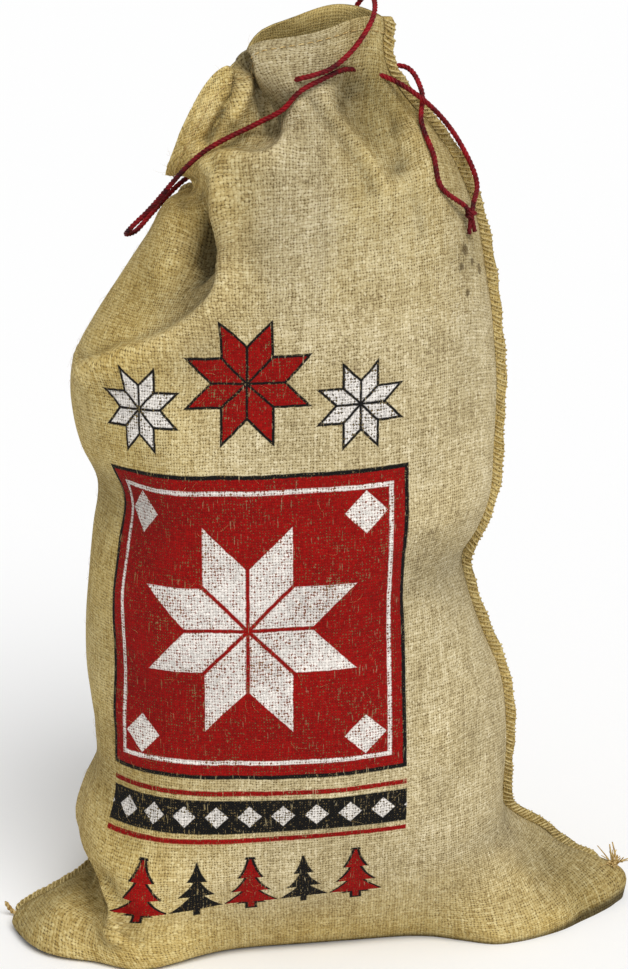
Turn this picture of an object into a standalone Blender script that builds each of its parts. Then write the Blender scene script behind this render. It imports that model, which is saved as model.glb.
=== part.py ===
"""Burlap sack, 60 x 100 cm flat, standing open-mouthed with its neck gathered by a red drawstring.

The cloth is one hollow solid: a wall as thick as the burlap, lofted through level sections from the floor to
the hem. Lengths are metres, angles degrees. The front faces -Y, and the origin is on the floor, under the
middle.
"""
from typing import NamedTuple

import bmesh
import bpy
import numpy as np
from mathutils import Vector

# ---------------------------------------------------------------- driving dimensions
CENTRE_X = 0.0094       # middle of the sack's width and depth in the tables below, moved to the origin
CENTRE_Y = 0.0043
CLOTH = 0.0022          # burlap, with its fuzz
HEM_CLOTH = 0.0034      # turned-in hem at the mouth
HEM_DEPTH = 0.030       # hem height along the cloth
SEAM_EDGE = 0.009       # overlocked allowance that stands out along both sides
SEAM_THICK = 0.0032     # its two layers, pressed together
LEFT_EDGE_RUN = (0.0, 0.060, 0.12, 0.68, 0.76, 0.90, 0.935)     # cloth lengths along the left seam
LEFT_EDGE_SHARE = (0.6, 0.4, 1.0, 1.0, 0.35, 0.35, 0.8)     # share of its allowance that stands out there
FRONT_STEPS = 40        # points across the front panel, seam to seam
BACK_STEPS = 23         # points across the back panel
PLAIN_SHARE = 0.42      # right-hand part of the front, which has few folds
PLAIN_STEPS = 0.30      # and the share of the points that it gets
SHARP = 50.0            # edges that turn by more degrees than this stay crisp
ANGLES = 720            # fine steps round a section, from which its points are read
MITER_LIMIT = 2.0       # how much further than its half thickness a corner of the wall may reach
CORNER_LIMIT = 4.5      # the same at the sharp inside corner of a side seam
EAR_SOLID = 0.022       # last part of each bottom corner, where the two layers are sewn together
EAR_TOP = 0.20          # cloth length that these corners end below
EASE_ROUNDS = 4         # how often the folded cloth is eased towards the middle of its neighbours
EASE = 0.5              # and how far each time
EASE_FROM = 0.50        # cloth length above which it is eased fully
EASE_OVER = 0.15        # and the length over which that begins


class Section(NamedTuple):
    """One slice through the sack, from its left end to its right end."""
    run: float          # cloth length up from the floor
    rows: int           # rows of faces from here to the next section
    left_x: float       # left end
    left_z: float
    right_x: float      # right end
    right_z: float
    mid_y: float        # depth of the two ends
    front: float        # bulge forward of the ends
    back: float         # bulge behind them
    turn: float         # degrees that the ends are turned, left one forward
    arch: float         # rise of the middle over the ends
    square: float       # 2 is an ellipse, more is boxier
    ear_left: float     # bottom corner drawn out past the end
    ear_right: float
    seam_left: float    # how far the left seam lies round to the back of the left end
    seam_right: float   # how far the right seam lies round to the front of the right end


SECTION_ROWS = [
    #  run rows left_x  left_z right_x right_z mid_y  front   back turn  arch   sq  ear_l  ear_r seam_l seam_r
    (0.000, 1, -0.190, 0.000, 0.203, 0.000, 0.020, 0.099, 0.098, 9.5,     0, 3.0, 0.077, 0.080,     0,     0),
    (0.008, 1, -0.203, 0.006, 0.194, 0.012, 0.020, 0.110, 0.108, 9.5,     0, 3.0, 0.076, 0.089,     0,     0),
    (0.028, 2, -0.210, 0.015, 0.199, 0.026, 0.019, 0.121, 0.122,   9,     0, 2.9, 0.021, 0.055, 0.002,     0),
    (0.060, 2, -0.207, 0.046, 0.201, 0.058, 0.017, 0.135, 0.136,   8,     0, 2.7, 0.001, 0.027, 0.050, 0.004),
    (0.098, 2, -0.227, 0.087, 0.186, 0.094, 0.014, 0.149, 0.147,   6,     0, 2.6,     0,     0, 0.085, 0.010),
    (0.155, 2, -0.210, 0.152, 0.184, 0.152, 0.010, 0.158, 0.156,   3,     0, 2.4,     0,     0, 0.088, 0.016),
    (0.255, 2, -0.213, 0.250, 0.172, 0.250, 0.008, 0.166, 0.162,   0,     0, 2.3,     0,     0, 0.088, 0.020),
    (0.315, 2, -0.210, 0.310, 0.152, 0.310, 0.007, 0.168, 0.164,   0,     0, 2.3,     0,     0, 0.088, 0.020),
    (0.362, 2, -0.208, 0.357, 0.145, 0.357, 0.006, 0.168, 0.163,   0,     0, 2.3,     0,     0, 0.088, 0.020),
    (0.435, 2, -0.202, 0.430, 0.162, 0.430, 0.004, 0.166, 0.160,   0,     0, 2.3,     0,     0, 0.088, 0.020),
    (0.520, 2, -0.222, 0.512, 0.167, 0.512, 0.002, 0.160, 0.154,   0,     0, 2.2,     0,     0, 0.085, 0.020),
    (0.575, 3, -0.212, 0.566, 0.164, 0.566, 0.000, 0.152, 0.146,   0,     0, 2.1,     0,     0, 0.080, 0.018),
    (0.635, 4, -0.179, 0.620, 0.159, 0.625, 0.000, 0.138, 0.134,   0,     0, 2.0,     0,     0, 0.070, 0.016),
    (0.690, 4, -0.150, 0.660, 0.149, 0.682, 0.000, 0.118, 0.116,   0,     0, 2.0,     0,     0, 0.060, 0.012),
    (0.745, 3, -0.131, 0.686, 0.123, 0.732, 0.000, 0.092, 0.092,   0, 0.010, 2.0, 0.010,     0, 0.045, 0.008),
    (0.800, 2, -0.111, 0.704, 0.092, 0.778, 0.000, 0.068, 0.070,   0, 0.016, 2.0, 0.015,     0, 0.030,     0),
    (0.845, 2, -0.104, 0.708, 0.068, 0.805, 0.000, 0.052, 0.056,   0, 0.022, 2.0, 0.008,     0, 0.020,     0),
    (0.885, 4, -0.118, 0.711, 0.063, 0.824, 0.000, 0.048, 0.054,   0, 0.036, 2.2,     0,     0, 0.020,     0),
    (0.945, 0, -0.134, 0.713, 0.065, 0.850, 0.000, 0.045, 0.050,   0, 0.052, 2.3,     0,     0, 0.020,     0),
]
SECTIONS = [Section(*row) for row in SECTION_ROWS]
ARCH_LEFT = 1.8         # how soon the rise falls off towards the left end
ARCH_RIGHT = 5.0        # and towards the right end
EAR_FRONT = 0.80        # fullness of a bottom corner on its front side, fuller where smaller
EAR_BACK = 1.3          # and on its back


class Fold(NamedTuple):
    """A soft trough or ridge along a straight line, seen from the front or the back."""
    name: str
    face: int           # -1 front, +1 back
    x1: float           # one end
    z1: float
    x2: float           # other end
    z2: float
    width: float        # half width of the trough
    push: float         # out of the cloth, or into it where negative
    shift_x: float      # sideways drag of the trough
    shift_z: float      # drag up or down
    fade: float         # share of the line over which the fold dies away to its first end


FOLDS = [
    #    name                face  x1      z1      x2      z2     width   push   shiftx  shiftz  fade
    Fold("left corner",        -1, -0.220, 0.000, -0.166, 0.024, 0.060, 0.048, 0.000, 0.000, 0.0),
    Fold("right corner",       -1, 0.168, 0.000, 0.256, 0.014, 0.044, 0.045, 0.000, 0.000, 0.0),
    Fold("left ear crease",    -1, -0.216, 0.066, -0.192, 0.026, 0.022, -0.017, 0.004, 0.000, 0.0),
    Fold("right ear dip",      -1, 0.205, 0.060, 0.235, 0.020, 0.018, -0.012, 0.000, 0.000, 0.0),
    Fold("waist crease",       -1, 0.040, 0.400, 0.155, 0.352, 0.026, -0.009, 0.000, 0.000, 0.6),
    Fold("left waist crease",  -1, -0.110, 0.400, -0.205, 0.432, 0.024, -0.008, 0.000, 0.000, 0.6),
    Fold("shoulder crease",    -1, -0.070, 0.630, -0.205, 0.556, 0.018, 0.014, 0.000, 0.000, 0.0),
    Fold("shoulder hollow",    -1, -0.110, 0.632, -0.150, 0.616, 0.026, -0.014, 0.000, 0.000, 0.0),
    Fold("left valley",        -1, -0.096, 0.640, -0.104, 0.680, 0.022, -0.044, 0.006, 0.000, 0.4),
    Fold("panel edge",         -1, -0.080, 0.722, -0.080, 0.656, 0.014, 0.003, -0.011, 0.000, 0.0),
    Fold("shelf bulge",        -1, -0.080, 0.716, -0.035, 0.732, 0.022, 0.016, 0.000, 0.004, 0.0),
    Fold("shelf trough",       -1, -0.088, 0.746, -0.040, 0.764, 0.014, -0.014, 0.000, 0.000, 0.0),
    Fold("mouth slit",         -1, -0.036, 0.750, -0.048, 0.850, 0.016, -0.035, 0.000, 0.000, 0.2),
    Fold("mouth notch",        -1, -0.050, 0.822, -0.056, 0.850, 0.014, 0.000, 0.000, -0.022, 0.0),
    Fold("mouth notch behind",  1, -0.072, 0.822, -0.068, 0.838, 0.011, -0.004, 0.003, -0.022, 0.0),
    Fold("front rim",          -1, -0.014, 0.862, 0.010, 0.868, 0.024, 0.000, 0.000, -0.023, 0.0),
    Fold("lobe edge",          -1, -0.016, 0.790, -0.030, 0.850, 0.018, 0.006, -0.028, 0.000, 0.3),
    Fold("lobe corner",        -1, -0.047, 0.838, -0.040, 0.848, 0.012, 0.000, -0.009, 0.004, 0.0),
    Fold("back rim left",       1, -0.056, 0.828, -0.048, 0.836, 0.014, 0.000, -0.004, 0.015, 0.0),
    Fold("back rim dip",        1, -0.034, 0.848, -0.014, 0.856, 0.014, 0.000, 0.000, -0.007, 0.0),
    Fold("left lobe valley",   -1, -0.092, 0.745, -0.074, 0.805, 0.012, -0.005, -0.003, 0.000, 0.3),
    Fold("left lobe top",      -1, -0.100, 0.800, -0.080, 0.830, 0.022, 0.000, -0.004, 0.000, 0.0),
    Fold("left lobe top behind", 1, -0.095, 0.815, -0.075, 0.835, 0.020, 0.000, 0.000, -0.008, 0.0),
    Fold("right hollow",       -1, 0.080, 0.735, 0.035, 0.795, 0.022, -0.014, 0.000, 0.000, 0.4),
    Fold("back pleat",          1, 0.010, 0.670, 0.005, 0.850, 0.020, -0.022, 0.000, 0.000, 0.5),
    Fold("back pleat left",     1, -0.060, 0.640, -0.050, 0.750, 0.018, -0.018, 0.000, 0.000, 0.5),
    Fold("back pleat right",    1, 0.068, 0.650, 0.050, 0.770, 0.016, -0.016, 0.000, 0.000, 0.5),
]
FLOOR_ROLL = 0.06       # below this height the folds push level, so that the cloth stays on the floor

# ---------------------------------------------------------------- drawstring
CORD = 0.005            # diameter
CORD_POINTS = 80        # points along the cord
CORD_FINE = 1201        # fine steps from which they are chosen
CORD_STEP = 0.020       # stretch between two of them where the cord is straight
CORD_TURN = 0.50        # and the turn between them, in radians, where it bends
# Route, from the knot up the outer strand, in at the right seam, out at the front, down over the left lobe to
# a tight bight, up behind the neck, over the mouth, in again, out behind the right seam and back to the knot.
CORD_ROUTE = [
    #  x        y        z
    (0.1410, -0.0465, 0.6950),
    (0.1450, -0.0310, 0.7070),
    (0.1300, -0.0150, 0.7440),
    (0.0930, -0.0240, 0.7860),
    (0.0640, -0.0135, 0.8020),
    (0.0450, -0.0165, 0.8075),
    (0.0270, -0.0340, 0.8105),
    (0.0080, -0.0495, 0.8040),
    (-0.0130, -0.0555, 0.7930),
    (-0.0270, -0.0525, 0.7780),
    (-0.0480, -0.0475, 0.7660),
    (-0.0915, -0.0490, 0.7440),
    (-0.1530, -0.0150, 0.6790),
    (-0.1655, -0.0095, 0.6665),
    (-0.1700, 0.0015, 0.6595),
    (-0.1640, 0.0120, 0.6595),
    (-0.1485, 0.0262, 0.6745),
    (-0.1175, 0.0485, 0.7035),
    (-0.0790, 0.0636, 0.7216),
    (-0.0402, 0.0644, 0.7424),
    (-0.0101, 0.0623, 0.7721),
    (0.0080, 0.0400, 0.8040),
    (0.0290, 0.0375, 0.8440),
    (0.0430, 0.0270, 0.8680),
    (0.0525, -0.0020, 0.8700),
    (0.0515, -0.0290, 0.8550),
    (0.0330, -0.0375, 0.8270),
    (0.0110, -0.0500, 0.8110),
    (-0.0030, -0.0550, 0.8070),
    (-0.0125, -0.0520, 0.8045),
    (-0.0160, -0.0435, 0.8025),
    (-0.0110, -0.0345, 0.8015),
    (0.0180, -0.0200, 0.8060),
    (0.0640, 0.0110, 0.8100),
    (0.0820, 0.0120, 0.8085),
    (0.0955, -0.0070, 0.7900),
    (0.0950, -0.0300, 0.7640),
    (0.1050, -0.0480, 0.7380),
    (0.1120, -0.0650, 0.7110),
    (0.1325, -0.0590, 0.6945),
]
CORD_GAP = 0.0003       # between an end of the cord and its stub on the knot
HOLE = 0.0084           # diameter of the holes that the cord passes through
HOLE_REACH = 0.013      # half length of a hole's cutter
HOLE_RINGS = 7
HOLE_SIDES = 8


class Hole(NamedTuple):
    """A place where the cord passes through the cloth."""
    name: str
    place: float        # along the route, counted in its points


HOLES = [
    Hole("hole_right_front", 4.0),
    Hole("hole_front_right", 6.0),
    Hole("hole_front_left", 30.0),
    Hole("hole_right_back", 33.0),
]

KNOT = (0.1385, -0.0535, 0.6870)            # middle of the overhand knot
KNOT_RADII = (0.0060, 0.0058, 0.0064)
KNOT_RIDGE = 0.0006     # height of the strands wound round it
KNOT_STRANDS = 3
KNOT_TWIST = 260.0      # turn of the strands with height, radians a metre
STUB = 0.0065           # length of each strand that goes into the knot
TAILS = [(0.1368, -0.0570, 0.6690), (0.1420, -0.0560, 0.6710)]      # where the two free ends end
STRAND_SIDES = 8


def smooth(places, values, at):
    """Read a smooth curve through the values of a table's column."""
    places = np.asarray(places, float)
    values = np.asarray(values, float)
    slopes = np.gradient(values, places)
    span = np.clip(np.searchsorted(places, at, side="right") - 1, 0, len(places) - 2)
    length = places[span + 1] - places[span]
    t = (at - places[span]) / length
    return ((2 * t**3 - 3 * t**2 + 1) * values[span] + (t**3 - 2 * t**2 + t) * length * slopes[span]
            + (3 * t**2 - 2 * t**3) * values[span + 1] + (t**3 - t**2) * length * slopes[span + 1])


def rows_up_the_cloth():
    """Cloth lengths of the rows of points, from the floor to the rim."""
    runs = [np.linspace(low.run, high.run, low.rows, endpoint=False)
            for low, high in zip(SECTIONS, SECTIONS[1:])]
    return np.append(np.concatenate(runs), SECTIONS[-1].run)


def signed_power(value, exponent):
    return np.sign(value) * np.abs(value) ** exponent


def section_outline(cut, angle, ear_solid):
    """Points of one section at the given angles, anticlockwise from its right end as seen from below."""
    half = 0.5 * np.hypot(cut.right_x - cut.left_x, cut.right_z - cut.left_z)
    along = half * signed_power(np.cos(angle), 2.0 / cut.square)
    deep = np.where(np.sin(angle) > 0.0, cut.front, cut.back)
    across = -deep * signed_power(np.sin(angle), 2.0 / cut.square)
    ear_right = max(cut.ear_right - ear_solid, 0.0)
    ear_left = max(cut.ear_left - ear_solid, 0.0)
    ear = np.where(np.cos(angle) > 0.0, ear_right, -ear_left)
    fullness = np.where(np.sin(angle) > 0.0, EAR_FRONT, EAR_BACK)
    along = along + ear * np.clip(1.0 - np.abs(across) / deep, 0.0, 1.0) ** fullness
    fall = np.where(along > 0.0, ARCH_RIGHT, ARCH_LEFT)
    rise = cut.arch * (1.0 - np.clip(np.abs(along) / half, 0.0, 1.0) ** fall)
    turn = np.radians(cut.turn)
    flat_x = along * np.cos(turn) - across * np.sin(turn)
    flat_y = along * np.sin(turn) + across * np.cos(turn)
    tilt = np.arctan2(cut.right_z - cut.left_z, cut.right_x - cut.left_x)
    return np.stack([
        0.5 * (cut.left_x + cut.right_x) + flat_x * np.cos(tilt) - rise * np.sin(tilt),
        cut.mid_y + flat_y,
        0.5 * (cut.left_z + cut.right_z) + flat_x * np.sin(tilt) + rise * np.cos(tilt)], axis=1)


def section_ring(cut, front_steps, back_steps, ear_solid):
    """Points round one section: along the front from the right seam to the left, and along the back again."""
    angle = np.linspace(0.0, 2.0 * np.pi, ANGLES + 1)
    step = np.linalg.norm(np.diff(section_outline(cut, angle, 0.0), axis=0), axis=1)
    length = np.append(0.0, np.cumsum(step))
    left_seam = length[ANGLES // 2] + cut.seam_left
    share = np.interp(np.arange(front_steps) / front_steps, (0.0, PLAIN_STEPS, 1.0), (0.0, PLAIN_SHARE, 1.0))
    stops = np.concatenate([
        cut.seam_right + share * (left_seam - cut.seam_right),
        np.linspace(left_seam, cut.seam_right + length[-1], back_steps, endpoint=False)])
    return section_outline(cut, np.interp(stops % length[-1], length, angle), ear_solid)


def lofted_cloth(front_steps, back_steps, runs, ear_solid=0.0):
    """Grid of points on the middle of the cloth, before its folds: one ring for each row."""
    places = [cut.run for cut in SECTIONS]
    columns = {name: smooth(places, [getattr(cut, name) for cut in SECTIONS], runs)
               for name in Section._fields if name not in ("run", "rows")}
    rings = []
    for row, run in enumerate(runs):
        values = {name: column[row] for name, column in columns.items()}
        sewn = ear_solid if run < EAR_TOP else 0.0
        rings.append(section_ring(Section(run=run, rows=0, **values), front_steps, back_steps, sewn))
    return np.array(rings)


def grid_normals(grid):
    """Outward unit normals of a grid of rings."""
    round_way = np.roll(grid, -1, axis=1) - np.roll(grid, 1, axis=1)
    up_way = np.gradient(grid, axis=0)
    normal = np.cross(up_way, round_way)
    return normal / np.linalg.norm(normal, axis=2, keepdims=True)


def fold_strength(x, z, fold):
    """How much of a fold each point gets, from its distance to the fold's line, both seen from the front."""
    line = np.array([fold.x2 - fold.x1, fold.z2 - fold.z1])
    along = ((x - fold.x1) * line[0] + (z - fold.z1) * line[1]) / (line @ line)
    along = np.clip(along, 0.0, 1.0)
    distance = np.hypot(x - fold.x1 - along * line[0], z - fold.z1 - along * line[1])
    faded = np.clip(along / max(fold.fade, 1e-6), 0.0, 1.0) if fold.fade else np.ones_like(along)
    return np.exp(-(distance / fold.width) ** 2) * faded * faded * (3.0 - 2.0 * faded)


def folded_cloth(grid):
    """Press the folds into the lofted grid."""
    normals = grid_normals(grid)
    x, z = grid[:, :, 0], grid[:, :, 2]
    push = normals.copy()
    push[:, :, 2] *= np.clip(z / FLOOR_ROLL, 0.0, 1.0)
    push /= np.linalg.norm(push, axis=2, keepdims=True)
    moved = grid.copy()
    for fold in FOLDS:
        facing = np.clip(0.5 + 2.0 * fold.face * normals[:, :, 1], 0.0, 1.0)
        amount = facing * fold_strength(x, z, fold)
        moved += amount[:, :, None] * (fold.push * push + np.array([fold.shift_x, 0.0, fold.shift_z]))
    return moved


def eased_cloth(grid, runs):
    """Soften the folds above the shoulder: each point moves part of the way to its neighbours' middle."""
    share = EASE * np.clip((runs - EASE_FROM) / EASE_OVER, 0.0, 1.0)[:, None, None]
    for _ in range(EASE_ROUNDS):
        level = 0.5 * (np.roll(grid, 1, axis=1) + np.roll(grid, -1, axis=1))
        upright = grid.copy()
        upright[1:-1] = 0.5 * (grid[:-2] + grid[2:])
        middle = 0.5 * (level + upright)
        middle[-1] = level[-1]
        grid = grid + share * (middle - grid)
    return grid


def wall_offset(grid, half_thick, limits):
    """Vectors from the middle of the cloth to its outer face, longer where the wall turns a corner."""
    before = np.roll(grid, 1, axis=1) - grid
    after = np.roll(grid, -1, axis=1) - grid
    before /= np.linalg.norm(before, axis=2, keepdims=True)
    after /= np.linalg.norm(after, axis=2, keepdims=True)
    half_angle = 0.5 * np.arccos(np.clip(np.sum(before * after, axis=2), -1.0, 1.0))
    miter = np.minimum(1.0 / np.maximum(np.sin(half_angle), 0.05), limits)
    return grid_normals(grid) * (half_thick * miter)[:, :, None]


def add_cell(mesh, low_start, low_end, high_end, high_start, leaning):
    """Two triangles between neighbouring points, split along the shorter way, alike in both skins."""
    if leaning:
        mesh.faces.new((low_start, low_end, high_end))
        mesh.faces.new((low_start, high_end, high_start))
    else:
        mesh.faces.new((low_start, low_end, high_start))
        mesh.faces.new((low_end, high_end, high_start))


def build_sack():
    """The cloth: an outer skin with its two seam edges, an inner skin, a rim and a flat base."""
    runs = rows_up_the_cloth()
    grid = eased_cloth(folded_cloth(lofted_cloth(FRONT_STEPS, BACK_STEPS, runs)), runs)
    lining = eased_cloth(folded_cloth(lofted_cloth(FRONT_STEPS, BACK_STEPS, runs, EAR_SOLID)), runs)
    grid[0, :, 2] = 0.0
    rows, around = grid.shape[:2]
    seams = (0, FRONT_STEPS)
    limits = np.full((rows, around), MITER_LIMIT)
    hem = np.clip((runs - (runs[-1] - HEM_DEPTH)) / 0.008, 0.0, 1.0)
    half_thick = np.repeat((0.5 * (CLOTH + hem * (HEM_CLOTH - CLOTH)))[:, None], around, axis=1)
    outer = grid + wall_offset(grid, half_thick, limits)
    limits[:, list(seams)] = CORNER_LIMIT
    inner = lining - wall_offset(lining, half_thick, limits)
    outer[0, :, 2] = 0.0
    inner[0, :, 2] = CLOTH
    normals = grid_normals(grid)
    tangents = np.roll(grid, -1, axis=1) - np.roll(grid, 1, axis=1)
    tangents /= np.linalg.norm(tangents, axis=2, keepdims=True)

    mesh = bmesh.new()
    outer_rings = []
    inner_rings = []
    for row in range(rows):
        ring = []
        for step in range(around):
            if step in seams:
                side = tangents[row, step] * 0.5 * SEAM_THICK
                out = normals[row, step].copy()
                if row == 0:
                    out[2] = 0.0
                    side[2] = 0.0
                root = outer[row, step]
                share = np.interp(runs[row], LEFT_EDGE_RUN, LEFT_EDGE_SHARE) if step else 1.0
                tip = root + out * SEAM_EDGE * share
                corners = (root - side, tip - side, tip + side, root + side)
                ring.append([mesh.verts.new(point) for point in corners])
            else:
                ring.append([mesh.verts.new(outer[row, step])])
        outer_rings.append(ring)
        inner_rings.append([mesh.verts.new(point) for point in inner[row]])

    after = np.roll(np.arange(around), -1)
    rising = np.linalg.norm(grid[:-1] - grid[1:, after], axis=2)
    falling = np.linalg.norm(grid[:-1, after] - grid[1:], axis=2)
    leaning = rising < falling
    for row in range(rows - 1):
        low, high = outer_rings[row], outer_rings[row + 1]
        inner_low, inner_high = inner_rings[row], inner_rings[row + 1]
        for step in range(around):
            then = after[step]
            for side in range(len(low[step]) - 1):
                mesh.faces.new((low[step][side + 1], low[step][side], high[step][side], high[step][side + 1]))
            way = leaning[row, step]
            add_cell(mesh, low[step][-1], low[then][0], high[then][0], high[step][-1], way)
            add_cell(mesh, inner_low[step], inner_low[then], inner_high[then], inner_high[step], way)
    mesh.faces.new([vert for group in outer_rings[0] for vert in group])
    mesh.faces.new(inner_rings[0][::-1])
    top = outer_rings[-1]
    for step in range(around):
        then = after[step]
        if len(top[step]) > 1:
            mesh.faces.new([*reversed(top[step]), inner_rings[-1][step]])
        mesh.faces.new((top[then][0], top[step][-1], inner_rings[-1][step], inner_rings[-1][then]))
    bmesh.ops.recalc_face_normals(mesh, faces=mesh.faces)
    return mesh


def route_places():
    """Lengths of the route's points along straight lines between them."""
    stretch = np.linalg.norm(np.diff(np.array(CORD_ROUTE), axis=0), axis=1)
    return np.append(0.0, np.cumsum(stretch))


def on_the_route(stops):
    """Points of the smooth curve through the cord's route."""
    places = route_places()
    return np.stack([smooth(places, column, stops) for column in np.array(CORD_ROUTE).T], axis=1)


def cord_points():
    """Points of the cord, closer together where its route turns more."""
    stops = np.linspace(0.0, route_places()[-1], CORD_FINE)
    steps = np.diff(on_the_route(stops), axis=0)
    length = np.linalg.norm(steps, axis=1)
    ahead = steps / length[:, None]
    turn = np.append(0.0, np.arccos(np.clip(np.sum(ahead[1:] * ahead[:-1], axis=1), -1.0, 1.0)))
    effort = np.append(0.0, np.cumsum(length / CORD_STEP + turn / CORD_TURN))
    return on_the_route(np.interp(np.linspace(0.0, effort[-1], CORD_POINTS), effort, stops))


def build_drawstring(material):
    """The cord, a round tube with closed ends."""
    points = cord_points()
    curve = bpy.data.curves.new("drawstring", "CURVE")
    curve.dimensions = "3D"
    curve.bevel_depth = 0.5 * CORD
    curve.bevel_resolution = 2
    curve.use_fill_caps = True
    spline = curve.splines.new("POLY")
    spline.points.add(len(points) - 1)
    for spot, point in zip(spline.points, points):
        spot.co = (*point, 1.0)
    curve.materials.append(material)
    return link("drawstring", curve)


def rod(start, end, radius, sides):
    """A closed round rod from one point to another."""
    start, end = Vector(start), Vector(end)
    mesh = bmesh.new()
    bmesh.ops.create_cone(mesh, cap_ends=True, segments=sides, radius1=radius, radius2=radius,
                          depth=(end - start).length)
    bmesh.ops.rotate(mesh, verts=mesh.verts, matrix=(end - start).to_track_quat("Z", "Y").to_matrix())
    bmesh.ops.translate(mesh, verts=mesh.verts, vec=(start + end) / 2.0)
    return mesh


def combine(thing, operation, name, mesh, material):
    """Cut a helper shape out of a piece, or fuse it on."""
    helper = place(name, mesh, material)
    helper.hide_render = True
    helper.display_type = "WIRE"
    modifier = thing.modifiers.new(name, "BOOLEAN")
    modifier.operation = operation
    modifier.solver = "EXACT"
    modifier.object = helper


def sleeve(place):
    """A round cutter, wider than the cord, that follows it through the cloth."""
    middle = np.interp(place, np.arange(len(CORD_ROUTE)), route_places())
    centres = on_the_route(middle + np.linspace(-HOLE_REACH, HOLE_REACH, HOLE_RINGS))
    ahead = np.gradient(centres, axis=0)
    mesh = bmesh.new()
    rings = []
    for centre, way in zip(centres, ahead):
        turned = Vector(way).to_track_quat("Z", "Y")
        spokes = [turned @ Vector((np.cos(angle), np.sin(angle), 0.0))
                  for angle in np.linspace(0.0, 2.0 * np.pi, HOLE_SIDES, endpoint=False)]
        rings.append([mesh.verts.new(Vector(centre) + spoke * HOLE / 2.0) for spoke in spokes])
    for low, high in zip(rings, rings[1:]):
        for side in range(HOLE_SIDES):
            then = (side + 1) % HOLE_SIDES
            mesh.faces.new((low[side], low[then], high[then], high[side]))
    mesh.faces.new(rings[0][::-1])
    mesh.faces.new(rings[-1])
    bmesh.ops.recalc_face_normals(mesh, faces=mesh.faces)
    return mesh


def cut_holes(sack, material):
    """The holes that the cord was threaded through."""
    for hole in HOLES:
        combine(sack, "DIFFERENCE", hole.name, sleeve(hole.place), material)


def build_knot(material):
    """The overhand knot, with a stub for each strand of the cord and the two free ends."""
    mesh = bmesh.new()
    bmesh.ops.create_uvsphere(mesh, u_segments=18, v_segments=10, radius=1.0)
    for vert in mesh.verts:
        around = np.arctan2(vert.co.y, vert.co.x)
        height = vert.co.z * KNOT_RADII[2]
        flat = np.hypot(vert.co.x, vert.co.y)
        ridge = KNOT_RIDGE * flat * np.cos(KNOT_STRANDS * around + KNOT_TWIST * height)
        vert.co = [axis * radius for axis, radius in zip(vert.co, KNOT_RADII)]
        vert.co += Vector((np.cos(around), np.sin(around), 0.0)) * ridge
        vert.co += Vector(KNOT)
    knot = place("drawstring_knot", mesh, material)
    points = cord_points()
    for name, last, before in (("stub_outer", points[0], points[1]), ("stub_inner", points[-1], points[-2])):
        inward = (last - before) / np.linalg.norm(last - before)
        stub = rod(last + inward * CORD_GAP, last + inward * STUB, 0.5 * CORD, STRAND_SIDES)
        combine(knot, "UNION", name, stub, material)
    for number, tail in enumerate(TAILS, start=1):
        combine(knot, "UNION", f"tail_{number}", rod(KNOT, tail, 0.46 * CORD, STRAND_SIDES), material)
    return knot


def paint(name, colour, roughness):
    """A plain material."""
    material = bpy.data.materials.new(name)
    material.use_nodes = True
    shader = material.node_tree.nodes["Principled BSDF"]
    shader.inputs["Base Color"].default_value = (*colour, 1.0)
    shader.inputs["Roughness"].default_value = roughness
    shader.inputs["Metallic"].default_value = 0.0
    return material


def link(name, data):
    """Add an object for a mesh or curve, with the sack's base over the origin."""
    thing = bpy.data.objects.new(name, data)
    thing.location = (-CENTRE_X, -CENTRE_Y, 0.0)
    bpy.context.scene.collection.objects.link(thing)
    return thing


def place(name, mesh, material):
    """Turn a finished mesh into an object of its own."""
    data = bpy.data.meshes.new(name)
    mesh.to_mesh(data)
    mesh.free()
    data.shade_smooth()
    data.set_sharp_from_angle(angle=np.radians(SHARP))
    data.materials.append(material)
    return link(name, data)


def main():
    for old in list(bpy.data.objects):
        bpy.data.objects.remove(old, do_unlink=True)
    burlap = paint("burlap", (0.52, 0.40, 0.22), 0.9)
    red = paint("cord_red", (0.42, 0.02, 0.05), 0.7)
    sack = place("sack", build_sack(), burlap)
    cut_holes(sack, burlap)
    build_drawstring(red)
    build_knot(red)


main()
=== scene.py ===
"""Looks of the burlap sack: fine cloth with its weave and print, overlocked seams, hem, fuzz and red drawstring.

Lengths are metres. The tables are in the same coordinates as those of the solids: the front faces -Y, and every
piece is moved by CENTRE at the end, so that the origin is on the floor under the middle of the sack.
"""
from __future__ import annotations

import logging
import math
from dataclasses import dataclass, field
from enum import Enum
from functools import reduce
from typing import Any, NamedTuple, Optional, Sequence, Union

import bpy
import numpy as np
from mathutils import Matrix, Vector


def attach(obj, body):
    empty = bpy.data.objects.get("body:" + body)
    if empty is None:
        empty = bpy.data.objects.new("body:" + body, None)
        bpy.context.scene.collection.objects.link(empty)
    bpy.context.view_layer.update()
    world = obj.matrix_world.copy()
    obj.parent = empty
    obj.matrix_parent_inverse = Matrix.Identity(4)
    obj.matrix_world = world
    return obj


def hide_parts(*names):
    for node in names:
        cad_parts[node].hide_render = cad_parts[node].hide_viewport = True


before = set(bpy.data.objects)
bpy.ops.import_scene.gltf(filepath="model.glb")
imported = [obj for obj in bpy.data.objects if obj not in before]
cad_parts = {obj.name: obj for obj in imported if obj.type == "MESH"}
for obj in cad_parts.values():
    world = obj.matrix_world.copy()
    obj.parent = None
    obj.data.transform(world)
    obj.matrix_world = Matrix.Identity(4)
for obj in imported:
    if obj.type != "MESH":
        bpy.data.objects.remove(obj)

logging.basicConfig(level=logging.INFO, format="%(message)s")
log = logging.getLogger("sack")

Colour = tuple[float, float, float]
Points = np.ndarray
Material = bpy.types.Material
Thing = bpy.types.Object
Socket = bpy.types.NodeSocket

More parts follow.
